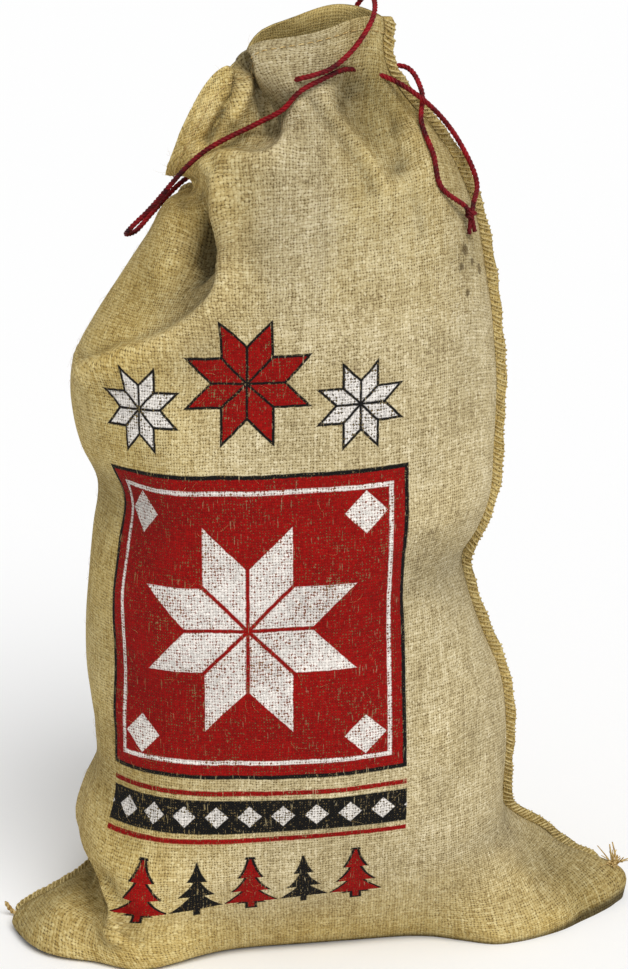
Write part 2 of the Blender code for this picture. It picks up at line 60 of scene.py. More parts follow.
CENTRE = np.array([0.0094, 0.0043, 0.0])    # middle of the sack in the tables below
ROOT = "root"
BURLAP_SLOT = "burlap"
CORD_SLOT = "cord_red"
SEED = 11
MM = 1000.0


def paint(red: int, green: int, blue: int) -> Colour:
    """A linear colour from display values of 0 to 255."""
    shares = (part / 255.0 for part in (red, green, blue))
    return tuple(part / 12.92 if part <= 0.04045 else ((part + 0.055) / 1.055) ** 2.4 for part in shares)


# Shader maths

@dataclass(frozen=True)
class Signal:
    """A value socket. An expression on it adds the Math nodes that work it out."""

    nodes: Nodes
    socket: bpy.types.NodeSocket

    def __add__(self, other: Term) -> Signal:
        """Sum."""
        return self.nodes.math("ADD", self, other)

    def __radd__(self, other: Term) -> Signal:
        """Sum, with this value second."""
        return self.nodes.math("ADD", other, self)

    def __sub__(self, other: Term) -> Signal:
        """Difference."""
        return self.nodes.math("SUBTRACT", self, other)

    def __rsub__(self, other: Term) -> Signal:
        """Difference, with this value second."""
        return self.nodes.math("SUBTRACT", other, self)

    def __mul__(self, other: Term) -> Signal:
        """Product."""
        return self.nodes.math("MULTIPLY", self, other)

    def __rmul__(self, other: Term) -> Signal:
        """Product, with this value second."""
        return self.nodes.math("MULTIPLY", other, self)

    def __truediv__(self, other: Term) -> Signal:
        """Quotient."""
        return self.nodes.math("DIVIDE", self, other)

    def __mod__(self, other: Term) -> Signal:
        """Remainder, never negative."""
        return self.nodes.math("FLOORED_MODULO", self, other)

    def __pow__(self, other: Term) -> Signal:
        """Power."""
        return self.nodes.math("POWER", self, other)

    def __abs__(self) -> Signal:
        """Size without its sign."""
        return self.nodes.math("ABSOLUTE", self)

    def __gt__(self, other: Term) -> Signal:
        """One where this value is greater, else zero."""
        return self.nodes.math("GREATER_THAN", self, other)

    def floor(self) -> Signal:
        """Whole part."""
        return self.nodes.math("FLOOR", self)

    def cosine(self) -> Signal:
        """Cosine of an angle in radians."""
        return self.nodes.math("COSINE", self)

    def root(self) -> Signal:
        """Square root."""
        return self.nodes.math("SQRT", self)

    def least(self, other: Term) -> Signal:
        """The smaller of two values."""
        return self.nodes.math("MINIMUM", self, other)

    def most(self, other: Term) -> Signal:
        """The greater of two values."""
        return self.nodes.math("MAXIMUM", self, other)

    def held(self) -> Signal:
        """Kept between zero and one."""
        return self.most(0.0).least(1.0)

    def rise(self, start: float, over: float) -> Signal:
        """From zero at a value to one further on, or to one further back where over is negative."""
        return ((self - start) / over).held()

    def step(self, low: float, high: float) -> Signal:
        """A smooth rise from zero at one value to one at another."""
        ease = self.rise(low, high - low)
        return ease * ease * (3.0 - 2.0 * ease)

    def bump(self, middle: float, half: float) -> Signal:
        """One at a value, falling to zero at a distance from it on both sides."""
        return abs(self - middle).rise(half, -half)


Term = Union[Signal, float]
Link = Union[Signal, Socket, float, Sequence[float]]
Sockets = dict[Union[str, int], Link]


class Nodes:
    """The node tree of one material."""

    def __init__(self, material: Material) -> None:
        """Start with an empty tree.

        Args:
            material: the material whose nodes these are.
        """
        material.use_nodes = True
        self.tree = material.node_tree
        self.tree.nodes.clear()

    def add(self, kind: str, settings: Optional[dict[str, Any]] = None,
            sockets: Optional[Sockets] = None) -> bpy.types.Node:
        """Add a node.

        Args:
            kind: its type, without the leading ShaderNode.
            settings: its settings, a ramp's stops under the name stops.
            sockets: the values or links of its inputs, by name or number.

        Returns:
            The node.
        """
        node = self.tree.nodes.new("ShaderNode" + kind)
        for name, value in (settings or {}).items():
            if name == "stops":
                self._set_stops(node, value)
            else:
                setattr(node, name, value)
        for name, value in (sockets or {}).items():
            if isinstance(value, (Signal, Socket)):
                self.tree.links.new(value.socket if isinstance(value, Signal) else value, node.inputs[name])
            else:
                node.inputs[name].default_value = value
        return node

    @staticmethod
    def _set_stops(node: bpy.types.Node, stops: Sequence[tuple[float, Colour]]) -> None:
        """Give a ramp its stops.

        Args:
            node: the ramp.
            stops: place and colour of each.
        """
        elements = node.color_ramp.elements
        while len(elements) > 1:
            elements.remove(elements[0])
        elements[0].position = stops[0][0]
        elements[0].color = (*stops[0][1], 1.0)
        for place, colour in stops[1:]:
            elements.new(place).color = (*colour, 1.0)

    def out(self, node: bpy.types.Node, name: Union[str, int] = 0) -> Signal:
        """A value output of a node."""
        return Signal(self, node.outputs[name])

    def math(self, operation: str, *terms: Term) -> Signal:
        """The result of one Math node."""
        return self.out(self.add("Math", {"operation": operation}, dict(enumerate(terms))))

    def carried(self, name: str, output: str) -> Socket:
        """What the mesh carries under a name."""
        return self.add("Attribute", {"attribute_name": name}).outputs[output]

    def joined(self, x: Term, y: Term, z: Term = 0.0) -> Socket:
        """A vector from three values."""
        return self.add("CombineXYZ", sockets={0: x, 1: y, 2: z}).outputs[0]

    def noise(self, vector: Link, scale: float, detail: float = 2.0, roughness: float = 0.5) -> Signal:
        """Soft noise around zero, by its place, its fineness, its finer layers and their strength."""
        sockets = {"Vector": vector, "Scale": scale, "Detail": detail, "Roughness": roughness}
        return self.out(self.add("TexNoise", {"noise_dimensions": "3D"}, sockets), "Fac") - 0.5

    def chance(self, x: Term, y: Term = 0.0, z: Term = 0.0) -> Signal:
        """A value from zero to one that is a different one at each whole place."""
        node = self.add("TexWhiteNoise", {"noise_dimensions": "3D"}, {"Vector": self.joined(x, y, z)})
        return self.out(node, "Value")

    def mix(self, share: Link, low: Link, high: Link) -> Socket:
        """A blend of two colours, by the share of the second."""
        return self.add("Mix", {"data_type": "RGBA"}, {0: share, 6: _opaque(low), 7: _opaque(high)}).outputs[2]

    def ramp(self, value: Signal, *colours: Colour) -> Socket:
        """A colour between three, at the bottom, lower middle and top of a value."""
        stops = list(zip((0.0, 0.42, 1.0), colours))
        return self.add("ValToRGB", {"stops": stops}, {0: value}).outputs[0]

    def tint(self, colour: Link, share: Link) -> Socket:
        """A colour made lighter or darker by a value around one."""
        return self.add("VectorMath", {"operation": "SCALE"}, {0: colour, "Scale": share}).outputs[0]

    def surface(self, colour: Link, height: Optional[Signal], strength: float, depth: float, roughness: float,
                specular: float) -> None:
        """The shader and the material's output.

        Args:
            colour: its colour.
            height: the relief from which its normals come.
            strength: how strong the relief is.
            depth: how deep it is, in metres.
            roughness: how dull the surface is.
            specular: how much it mirrors.
        """
        sockets: Sockets = {"Base Color": _opaque(colour), "Roughness": roughness, "Specular IOR Level": specular}
        if height:
            relief = self.add("Bump", sockets={"Strength": strength, "Distance": depth, "Height": height})
            sockets["Normal"] = relief.outputs[0]
        self.add("OutputMaterial", sockets={"Surface": self.add("BsdfPrincipled", sockets=sockets).outputs[0]})


def _opaque(value: Link) -> Link:
    """A colour with its fourth part, or a link as it is."""
    return (*value, 1.0) if isinstance(value, tuple) else value


def started(name: str) -> tuple[Material, Nodes]:
    """A new material and its nodes."""
    material = bpy.data.materials.new(name)
    return material, Nodes(material)


# Finishes

@dataclass(frozen=True)
class WinterPrint:
    """A knitted-pattern print: eight-pointed stars over a star panel, a diamond band and a row of fir trees."""

    centre: float = -0.058          # middle of the print along the front's weft
    base: float = 0.098             # lowest edge above the floor, along the warp
    scale: float = 1.12             # size of the whole print against the lengths below
    soft: float = 0.0009            # softness of an ink's edge
    line: float = 0.0036            # width of the black outlines
    panel: float = 0.124            # half width of the star panel
    panel_middle: float = 0.262     # height of its middle over the base
    inset: float = 0.011            # white line inside the panel
    inset_half: float = 0.0018
    corner: float = 0.093           # place of the white diamonds in the panel's corners
    corner_reach: float = 0.017
    star: float = 0.0500            # side of the panel star's diamonds
    star_gap: float = 0.0016
    small_stars: tuple[tuple[float, float, float], ...] = (     # place, side and height of the red and the white ones
        (0.0, 0.0265, 0.462), (0.088, 0.0175, 0.440))
    small_gap: float = 0.0011
    small_line: float = 0.0030
    band: float = 0.100             # middle of the black band
    band_half: float = 0.0150
    diamond_pace: float = 0.027     # white diamonds on it
    diamond_reach: float = 0.0095
    rule: float = 0.0215            # red lines over and under it
    rule_half: float = 0.0022
    tree_pace: float = 0.043
    tree_foot: float = 0.009
    tree_half: float = 0.0185
    tree_height: float = 0.052
    tree_line: float = 0.0024
    trees: int = 5
    red: Colour = paint(142, 12, 8)
    white: Colour = paint(226, 220, 212)
    black: Colour = paint(16, 15, 14)

    def star_depth(self, across: Signal, up: Signal, side: float, gap: float) -> tuple[Signal, Signal]:
        """Depth inside an eight-pointed star of eight diamonds, and inside the diamonds alone.

        Args:
            across: distance from its middle along the weft.
            up: distance along the warp.
            side: length of a diamond's side.
            gap: half the bare line between two diamonds.

        Returns:
            Depth inside the whole star, and inside its diamonds.
        """
        wide, high = abs(across), abs(up)
        minor = wide.least(high)
        slant = wide.most(high) - minor
        whole = (side - slant).least(side - math.sqrt(2.0) * minor)
        return whole, whole.least(minor - gap).least(slant * math.sqrt(0.5) - gap)

    def tree_depth(self, across: Signal, up: Signal) -> Signal:
        """Depth inside a fir tree of three tiers.

        Args:
            across: distance from its stem.
            up: height over its foot.

        Returns:
            The depth.
        """
        climb = up / self.tree_height
        reach = self.tree_half * (1.12 - climb) * (1.0 - 0.62 * ((climb * 3.0) % 1.0))
        crown = (reach - abs(across)).least(up).least(self.tree_height - up)
        return crown.most((0.0026 - abs(across)).least(up + self.tree_foot).least(0.004 - up))

    def inks(self, across: Signal, up: Signal) -> list[Signal]:
        """Where the inks lie.

        Args:
            across: place along the weft.
            up: place along the warp.

        Returns:
            Masks of the white, the red and the black.
        """
        u = (across - self.centre) / self.scale
        v = (up - self.base) / self.scale
        high = v - self.panel_middle
        panel = (self.panel - abs(u)).least(self.panel - abs(high))
        whole, petals = self.star_depth(u, high, self.star, self.star_gap)
        corner = self.corner_reach - (abs(abs(u) - self.corner) + abs(abs(high) - self.corner))
        white = [petals, (self.inset_half - abs(panel - self.inset)).least(panel), corner]
        red = [panel]
        black = [panel + self.line, (whole + self.line).least(panel)]
        for (place, size, rise), ink in zip(self.small_stars, (red, white)):
            whole, petals = self.star_depth(abs(u) - place, v - rise, size, self.small_gap)
            black.append(whole + self.small_line)
            ink.append(petals)

        inside = self.panel + self.line - abs(u)
        over = v - self.band
        band = (self.band_half - abs(over)).least(inside)
        cell = (u + 0.5 * self.diamond_pace) % self.diamond_pace - 0.5 * self.diamond_pace
        white.append((self.diamond_reach - (abs(cell) + abs(over))).least(band))
        red.append((self.rule_half - abs(abs(over) - self.rule)).least(inside))
        black.append(band)

        slot = u / self.tree_pace + 0.5
        number = slot.floor()
        tree = self.tree_depth((slot - number - 0.5) * self.tree_pace, v - self.tree_foot)
        tree = tree.least(0.5 * self.trees * self.tree_pace - abs(u))
        odd = number % 2.0
        red.append(tree - odd)
        black.append(tree + self.tree_line * (1.0 - odd))
        return [(reduce(Signal.most, depths) / self.soft + 0.5).held() for depths in (white, red, black)]


@dataclass(frozen=True)
class BurlapFinish:
    """Coarse plain-woven jute: uneven threads over and under each other, dark gaps between them, worn ink."""

    warp_pitch: float = 0.00262
    weft_pitch: float = 0.00270
    relief: float = 0.00075
    dark_to_light: tuple[Colour, ...] = (paint(136, 110, 52), paint(179, 155, 94), paint(213, 196, 139))
    # paler, greyer ramp: partly the cloth's own tone, partly painted light from the right
    pale_jute: tuple[Colour, ...] = (paint(132, 116, 86), paint(182, 166, 125), paint(220, 207, 172))
    gap: Colour = paint(106, 88, 52)
    stain: Colour = paint(70, 54, 26)
    stains: tuple[tuple[float, ...], ...] = (       # across, up and radius of each dark speck by the knot
        (0.147, 0.694, 0.0048), (0.183, 0.693, 0.0062), (0.159, 0.672, 0.0044), (0.153, 0.709, 0.0064),
        (0.166, 0.698, 0.0046))
    stain_depth: float = 0.72
    painted_shadows: tuple[tuple[float, ...], ...] = (        # across, up, radius and depth of patches of painted shade in the hollows on the front
        (0.062, 0.862, 0.060, 0.32), (-0.112, 0.735, 0.050, 0.32), (-0.118, 0.690, 0.040, 0.16),
        (-0.132, 0.728, 0.080, 0.16), (0.160, 0.706, 0.034, 0.15))
    painted_tones: tuple[tuple[float, ...], ...] = (        # painted shade and highlight by place: how much lighter; start and reach across; the same up
        (-0.34, 0.205, 0.05, 0.13, -0.05), (-0.34, -0.205, -0.05, 0.13, -0.05),     # painted shade in both corners
        (-0.15, -0.11, 0.05, 0.66, 0.08), (0.30, -0.08, -0.03, 0.79, 0.03),         # painted shade on the neck, painted highlight on the lobe
        (-0.07, -0.11, -0.06, 0.60, -0.06), (-0.60, 1.0, -0.5, 0.011, -0.007))      # painted shade on the left side, and a painted contact shadow along the floor line
    printed: WinterPrint = WinterPrint()

    def away(self, across: Signal, up: Signal, spot: Sequence[float]) -> Signal:
        """Distance from a spot's middle, as a share of its radius."""
        return ((across - spot[0]) ** 2.0 + (up - spot[1]) ** 2.0).root() / spot[2]

    def build(self, name: str) -> Material:
        """Make the material.

        Args:
            name: its name.

        Returns:
            The material.
        """
        material, nodes = started(name)
        parts = nodes.add("SeparateXYZ", sockets={0: nodes.carried("cloth_place", "Vector")})
        across, up, face = (nodes.out(parts, part) for part in range(3))
        sunk = Signal(nodes, nodes.carried("cloth_hollow", "Fac"))
        spot = nodes.joined(across, up, face * 0.37)
        turned = nodes.joined(up, across, face * 0.37 + 4.0)
        front = 1.0 - (abs(face - 1.0) > 0.5)

        # Threads wander a little, in long waves and in short ones.
        kink, kink_up = (nodes.noise(where, 130.0, 3.0, 0.6) for where in (spot, turned))
        warp = (across + nodes.noise(spot, 6.0, 1.0) * 0.008 + kink * 0.0040) / self.warp_pitch
        weft = (up + nodes.noise(turned, 6.0, 1.0) * 0.008 + kink_up * 0.0040) / self.weft_pitch
        warp_number, weft_number = warp.floor(), weft.floor()
        warp_off, weft_off = warp - warp_number - 0.5, weft - weft_number - 0.5
        warp_chance, weft_chance = nodes.chance(warp_number, 3.0, face), nodes.chance(weft_number, 11.0, face)
        crossing = nodes.chance(warp_number, weft_number, face + 31.0) - 0.5
        gap_chance = nodes.chance((warp + 0.5).floor(), (weft + 0.5).floor(), face + 53.0)
        slub = nodes.noise(nodes.joined(warp_number * 3.1, up * 60.0, face), 1.0)
        weft_slub = nodes.noise(nodes.joined(weft_number * 3.7 + 50.0, across * 60.0, face), 1.0)
        warp_half = 0.38 + 0.08 * warp_chance + 0.34 * slub
        weft_half = 0.38 + 0.06 * weft_chance + 0.34 * weft_slub
        warp_round, weft_round = ((1.0 - (off / half) ** 2.0).most(0.0).root()
                                  for off, half in ((warp_off, warp_half), (weft_off, weft_half)))
        parity = (warp_number + weft_number) % 2.0
        swing = (math.pi * weft_off).cosine() * (math.pi * warp_off).cosine() * (2.0 * parity - 1.0)
        warp_height = warp_round * (0.52 + 0.42 * swing)
        weft_height = weft_round * (0.52 - 0.42 * swing)
        height = warp_height.most(weft_height)
        warp_on_top = warp_height > weft_height

        # Colour of each thread, its fibres, and broad patches.
        thread = (warp_on_top * (0.5 * warp_chance + 1.5 * slub)
                  + (1.0 - warp_on_top) * (0.4 * weft_chance + 1.3 * weft_slub))
        fibre, fleck = nodes.noise(spot, 900.0, 2.0, 0.7), nodes.noise(spot, 300.0, 2.0, 0.7)
        patch = nodes.noise(spot, 6.0, 3.0, 0.6)
        mottle = nodes.noise(nodes.joined(across, up * 0.5, face * 0.37), 75.0, 2.0, 0.6)
        streak_up = nodes.noise(nodes.joined(across, up * 0.05, face), 400.0, 1.0)
        streak_across = nodes.noise(nodes.joined(across * 0.06, up, face), 400.0, 1.0)
        tone = (0.27 + 0.35 * thread + 0.30 * crossing + 0.7 * fibre + fleck + 0.60 * patch + 0.24 * height
                + 0.6 * mottle + 0.5 * streak_up + 0.4 * streak_across)
        # Paler, greyer jute over the front's middle and right: partly the cloth's own tone, partly painted light from
        # the right.
        pale = across.rise(-0.17, 0.13) * up.rise(0.02, 0.12) * up.rise(0.86, -0.22) * front
        pale_middle = across.bump(-0.012, 0.075) * up.rise(0.56, 0.10) * front
        pale = (pale.most(1.3 * pale_middle) + 0.6 * nodes.noise(spot, 14.0)).held() * (0.25 + 0.75 * front)
        jute = nodes.mix(pale, nodes.ramp(tone, *self.dark_to_light), nodes.ramp(tone, *self.pale_jute))
        colour = nodes.mix((height + 0.34 * (gap_chance - 0.55)).step(0.04, 0.42), self.gap, jute)

        # Painted shade darkens hollows and a painted highlight lightens ridges, along with the painted shade and
        # highlight by place; a few dark stains lie by the knot.
        # Painted shade and highlight by place, then the painted shadows listed above.
        painted_light: Term = 1.0
        for lighter, start, over, start_up, over_up in self.painted_tones:
            painted_light = painted_light + lighter * across.rise(start, over) * up.rise(start_up, over_up)
        # Painted shadows under the neck's gathers, under the left lobe and by the knot.
        for shadow_spot in self.painted_shadows:
            painted_light = painted_light - (1.0 - self.away(across, up, shadow_spot)).step(0.0, 0.8) * front * shadow_spot[3]
        # Painted shade in the hollows, heavier above the shoulder, and a painted highlight on the ridges.
        crease_shade = 0.16 + 0.40 * up.rise(0.54, 0.10)
        shade = (1.0 - crease_shade * sunk.most(0.0) - 0.20 * sunk.least(0.0)) * painted_light
        # Painted light on the lining seen through the mouth: lighter by the rim, in painted shade further below it.
        lining = (face > 2.5) * (0.40 - 1.2 * (face - 3.0))
        colour = nodes.tint(colour, (shade + lining).most(0.2))
        ragged = 1.0 + 1.2 * nodes.noise(spot, 420.0)
        for speck in self.stains:
            dark = (ragged - self.away(across, up, speck)).step(0.0, 0.5) * front * self.stain_depth
            colour = nodes.mix(dark, colour, self.stain)

        # The ink lies on the threads, thin on the white and rubbed off in short streaks.
        white, red, black = self.printed.inks(across + kink * 0.0016, up + kink_up * 0.0016)
        wear = nodes.noise(spot, 26.0, 3.0, 0.6)
        rub = nodes.noise(nodes.joined(across * 6.0, up, face), 40.0, 2.0, 0.6)
        streak = nodes.noise(nodes.joined(across * 9.0, up, face), 70.0, 1.0).step(0.16, 0.22)
        cover = height + 0.5 * (gap_chance - 0.6) + 0.7 * fibre + 0.55 * wear + 0.35 * rub
        full = (cover.step(-0.06, 0.14) - 0.55 * streak).held() * front
        ink_tone = shade * (0.70 + 0.5 * fibre + 0.7 * fleck + 0.30 * height + 0.5 * wear + 0.25 * crossing)
        for mask, ink, tone in ((black * full, self.printed.black, 0.6 + height),
                                (red * full, self.printed.red, ink_tone),
                                (white * cover.step(0.10, 0.34) * front, self.printed.white, ink_tone)):
            colour = nodes.mix(mask, colour, nodes.tint(ink, tone))
        nodes.surface(colour, height + 0.30 * fibre, 0.9, self.relief, 0.95, 0.15)
        return material


@dataclass(frozen=True)
class YarnFinish:
    """Jute yarn or twisted cord, in two shades mixed by coarse and fine noise."""

    light: Colour = paint(214, 190, 134)
    dark: Colour = paint(150, 116, 58)
    coarse: float = 260.0
    fine: float = 1560.0
    fine_rough: float = 0.6
    fine_share: float = 0.6
    blend: tuple[float, float] = (-0.20, 0.22)
    strength: float = 0.7
    depth: float = 0.0003
    rough: float = 0.9
    specular: float = 0.25

    def build(self, name: str) -> Material:
        """Make the material.

        Args:
            name: its name.

        Returns:
            The material.
        """
        material, nodes = started(name)
        where = nodes.add("TexCoord").outputs["Object"]
        fine = nodes.noise(where, self.fine, 2.0, self.fine_rough)
        tone = nodes.noise(where, self.coarse, 2.0, 0.6) + self.fine_share * fine
        colour = nodes.mix(tone.step(*self.blend), self.dark, self.light)
        nodes.surface(colour, fine, self.strength, self.depth, self.rough, self.specular)
        return material


@dataclass(frozen=True)
class CordFinish(YarnFinish):
    """Red twisted cord."""

    light: Colour = paint(146, 8, 21)
    dark: Colour = paint(40, 1, 6)
    coarse: float = 60.0
    fine: float = 2400.0
    fine_rough: float = 0.7
    fine_share: float = 0.8
    blend: tuple[float, float] = (-0.25, 0.25)
    strength: float = 0.6
    depth: float = 0.0002
    rough: float = 0.55
    specular: float = 0.20


@dataclass(frozen=True)
class FloorFinish:
    """Plain pale floor."""

    colour: Colour = (0.93, 0.93, 0.93)

    def build(self, name: str) -> Material:
        """Make the material.

        Args:
            name: its name.

        Returns:
            The material.
        """
        material, nodes = started(name)
        nodes.surface(self.colour, None, 0.0, 0.0, 1.0, 0.0)
        return material


# The form

class Cut(NamedTuple):
    """One slice through the sack, from its left end to its right end."""

    run: float          # cloth length up from the floor
    rows: int           # coarse rows from here to the next slice
    left_x: float       # left end
    left_z: float
    right_x: float      # right end
    right_z: float
    mid_y: float        # depth of the two ends
    front: float        # bulge forward of the ends
    back: float         # bulge behind them
    turn: float         # degrees that the ends are turned, left one forward
    arch: float         # rise of the middle over the ends
    square: float       # 2 is an ellipse, more is boxier
    ear_left: float     # bottom corner drawn out past the end
    ear_right: float
    seam_left: float    # how far the left seam lies round to the back of the left end
    seam_right: float   # how far the right seam lies round to the front of the right end


CUT_ROWS = [
    #  run rows left_x  left_z right_x right_z mid_y  front   back turn  arch   sq  ear_l  ear_r seam_l seam_r
    (0.000, 1, -0.190, 0.000, 0.203, 0.000, 0.020, 0.099, 0.098, 9.5,     0, 3.0, 0.077, 0.080,     0,     0),
    (0.008, 1, -0.203, 0.006, 0.194, 0.012, 0.020, 0.110, 0.108, 9.5,     0, 3.0, 0.076, 0.089,     0,     0),
    (0.028, 2, -0.210, 0.015, 0.199, 0.026, 0.019, 0.121, 0.122,   9,     0, 2.9, 0.021, 0.055, 0.002,     0),
    (0.060, 2, -0.207, 0.046, 0.201, 0.058, 0.017, 0.135, 0.136,   8,     0, 2.7, 0.001, 0.027, 0.050, 0.004),
    (0.098, 2, -0.227, 0.087, 0.186, 0.094, 0.014, 0.149, 0.147,   6,     0, 2.6,     0,     0, 0.085, 0.010),
    (0.155, 2, -0.210, 0.152, 0.184, 0.152, 0.010, 0.158, 0.156,   3,     0, 2.4,     0,     0, 0.088, 0.016),
    (0.255, 2, -0.213, 0.250, 0.172, 0.250, 0.008, 0.166, 0.162,   0,     0, 2.3,     0,     0, 0.088, 0.020),
    (0.315, 2, -0.210, 0.310, 0.152, 0.310, 0.007, 0.168, 0.164,   0,     0, 2.3,     0,     0, 0.088, 0.020),
    (0.362, 2, -0.208, 0.357, 0.145, 0.357, 0.006, 0.168, 0.163,   0,     0, 2.3,     0,     0, 0.088, 0.020),
    (0.435, 2, -0.202, 0.430, 0.162, 0.430, 0.004, 0.166, 0.160,   0,     0, 2.3,     0,     0, 0.088, 0.020),
    (0.520, 2, -0.222, 0.512, 0.167, 0.512, 0.002, 0.160, 0.154,   0,     0, 2.2,     0,     0, 0.085, 0.020),
    (0.575, 3, -0.212, 0.566, 0.164, 0.566, 0.000, 0.152, 0.146,   0,     0, 2.1,     0,     0, 0.080, 0.018),
    (0.635, 4, -0.179, 0.620, 0.159, 0.625, 0.000, 0.138, 0.134,   0,     0, 2.0,     0,     0, 0.070, 0.016),
    (0.690, 4, -0.150, 0.660, 0.149, 0.682, 0.000, 0.118, 0.116,   0,     0, 2.0,     0,     0, 0.060, 0.012),
    (0.745, 3, -0.131, 0.686, 0.123, 0.732, 0.000, 0.092, 0.092,   0, 0.010, 2.0, 0.010,     0, 0.045, 0.008),
    (0.800, 2, -0.111, 0.704, 0.092, 0.778, 0.000, 0.068, 0.070,   0, 0.016, 2.0, 0.015,     0, 0.030,     0),
    (0.845, 2, -0.104, 0.708, 0.068, 0.805, 0.000, 0.052, 0.056,   0, 0.022, 2.0, 0.008,     0, 0.020,     0),
    (0.885, 4, -0.118, 0.711, 0.063, 0.824, 0.000, 0.048, 0.054,   0, 0.036, 2.2,     0,     0, 0.020,     0),
    (0.945, 0, -0.134, 0.713, 0.065, 0.850, 0.000, 0.045, 0.050,   0, 0.052, 2.3,     0,     0, 0.020,     0),
]
CUTS = [Cut(*row) for row in CUT_ROWS]


class Face(Enum):
    """The side of the sack that a fold shows on."""

    FRONT = -1
    BACK = 1


FRONT, BACK = Face.FRONT, Face.BACK


class Fold(NamedTuple):
    """A soft trough or ridge along a straight line, seen from the front or the back."""

    name: str
    face: Face
    fade: float         # share of the line over which the fold dies away to its first end
    x1: float           # one end
    z1: float
    x2: float           # other end
    z2: float
    width: float        # half width of the trough
    push: float         # out of the cloth, or into it where negative
    shift_x: float = 0.0    # sideways drag of the trough
    shift_z: float = 0.0    # drag up or down


# In millimetres, but for the share in the third place.
FOLD_ROWS = [
    ("left corner", FRONT, 0, -220, 0, -166, 24, 60, 48),
    ("right corner", FRONT, 0, 168, 0, 256, 14, 44, 45),
    ("left ear crease", FRONT, 0, -216, 66, -192, 26, 22, -17, 4),
    ("right ear dip", FRONT, 0, 205, 60, 235, 20, 18, -12),
    ("waist crease", FRONT, 0.6, 40, 400, 155, 352, 26, -9),
    ("left waist crease", FRONT, 0.6, -110, 400, -205, 432, 24, -8),
    ("shoulder crease", FRONT, 0, -70, 630, -205, 556, 18, 14),
    ("shoulder hollow", FRONT, 0, -110, 632, -150, 616, 26, -14),
    ("left valley", FRONT, 0.4, -96, 640, -104, 680, 22, -44, 6),
    ("panel edge", FRONT, 0, -80, 722, -80, 656, 14, 3, -11),
    ("shelf bulge", FRONT, 0, -80, 716, -35, 732, 22, 16, 0, 4),
    ("shelf trough", FRONT, 0, -88, 746, -40, 764, 14, -14),
    ("mouth slit", FRONT, 0.2, -36, 750, -48, 850, 16, -35),
    ("mouth notch", FRONT, 0, -50, 822, -56, 850, 14, 0, 0, -22),
    ("mouth notch behind", BACK, 0, -72, 822, -68, 838, 11, -4, 3, -22),
    ("front rim", FRONT, 0, -14, 862, 10, 868, 24, 0, 0, -23),
    ("lobe edge", FRONT, 0.3, -16, 790, -30, 850, 18, 6, -28),
    ("lobe corner", FRONT, 0, -47, 838, -40, 848, 12, 0, -9, 4),
    ("back rim left", BACK, 0, -56, 828, -48, 836, 14, 0, -4, 15),
    ("back rim dip", BACK, 0, -34, 848, -14, 856, 14, 0, 0, -7),
    ("left lobe valley", FRONT, 0.3, -92, 745, -74, 805, 12, -5, -3),
    ("left lobe top", FRONT, 0, -100, 800, -80, 830, 22, 0, -4),
    ("left lobe top behind", BACK, 0, -95, 815, -75, 835, 20, 0, 0, -8),
    ("right hollow", FRONT, 0.4, 80, 735, 35, 795, 22, -14),
    ("back pleat", BACK, 0.5, 10, 670, 5, 850, 20, -22),
    ("back pleat left", BACK, 0.5, -60, 640, -50, 750, 18, -18),
    ("back pleat right", BACK, 0.5, 68, 650, 50, 770, 16, -16),
]
FOLDS = [Fold(name, face, fade, *(size / MM for size in sizes)) for name, face, fade, *sizes in FOLD_ROWS]


class Crease(NamedTuple):
    """A narrow crease along a curve, seen from the front or the back. Only the fine cloth carries it."""

    name: str
    face: Face
    line: Points        # x and z of points on it
    width: float        # half width
    push: float         # out of the cloth, or into it where negative
    fade: float         # length over which it dies away at both ends
    step: float = 0.0   # how far the cloth right of the line stands over that left of it
    reach: float = 0.02     # how far from the line the step dies away


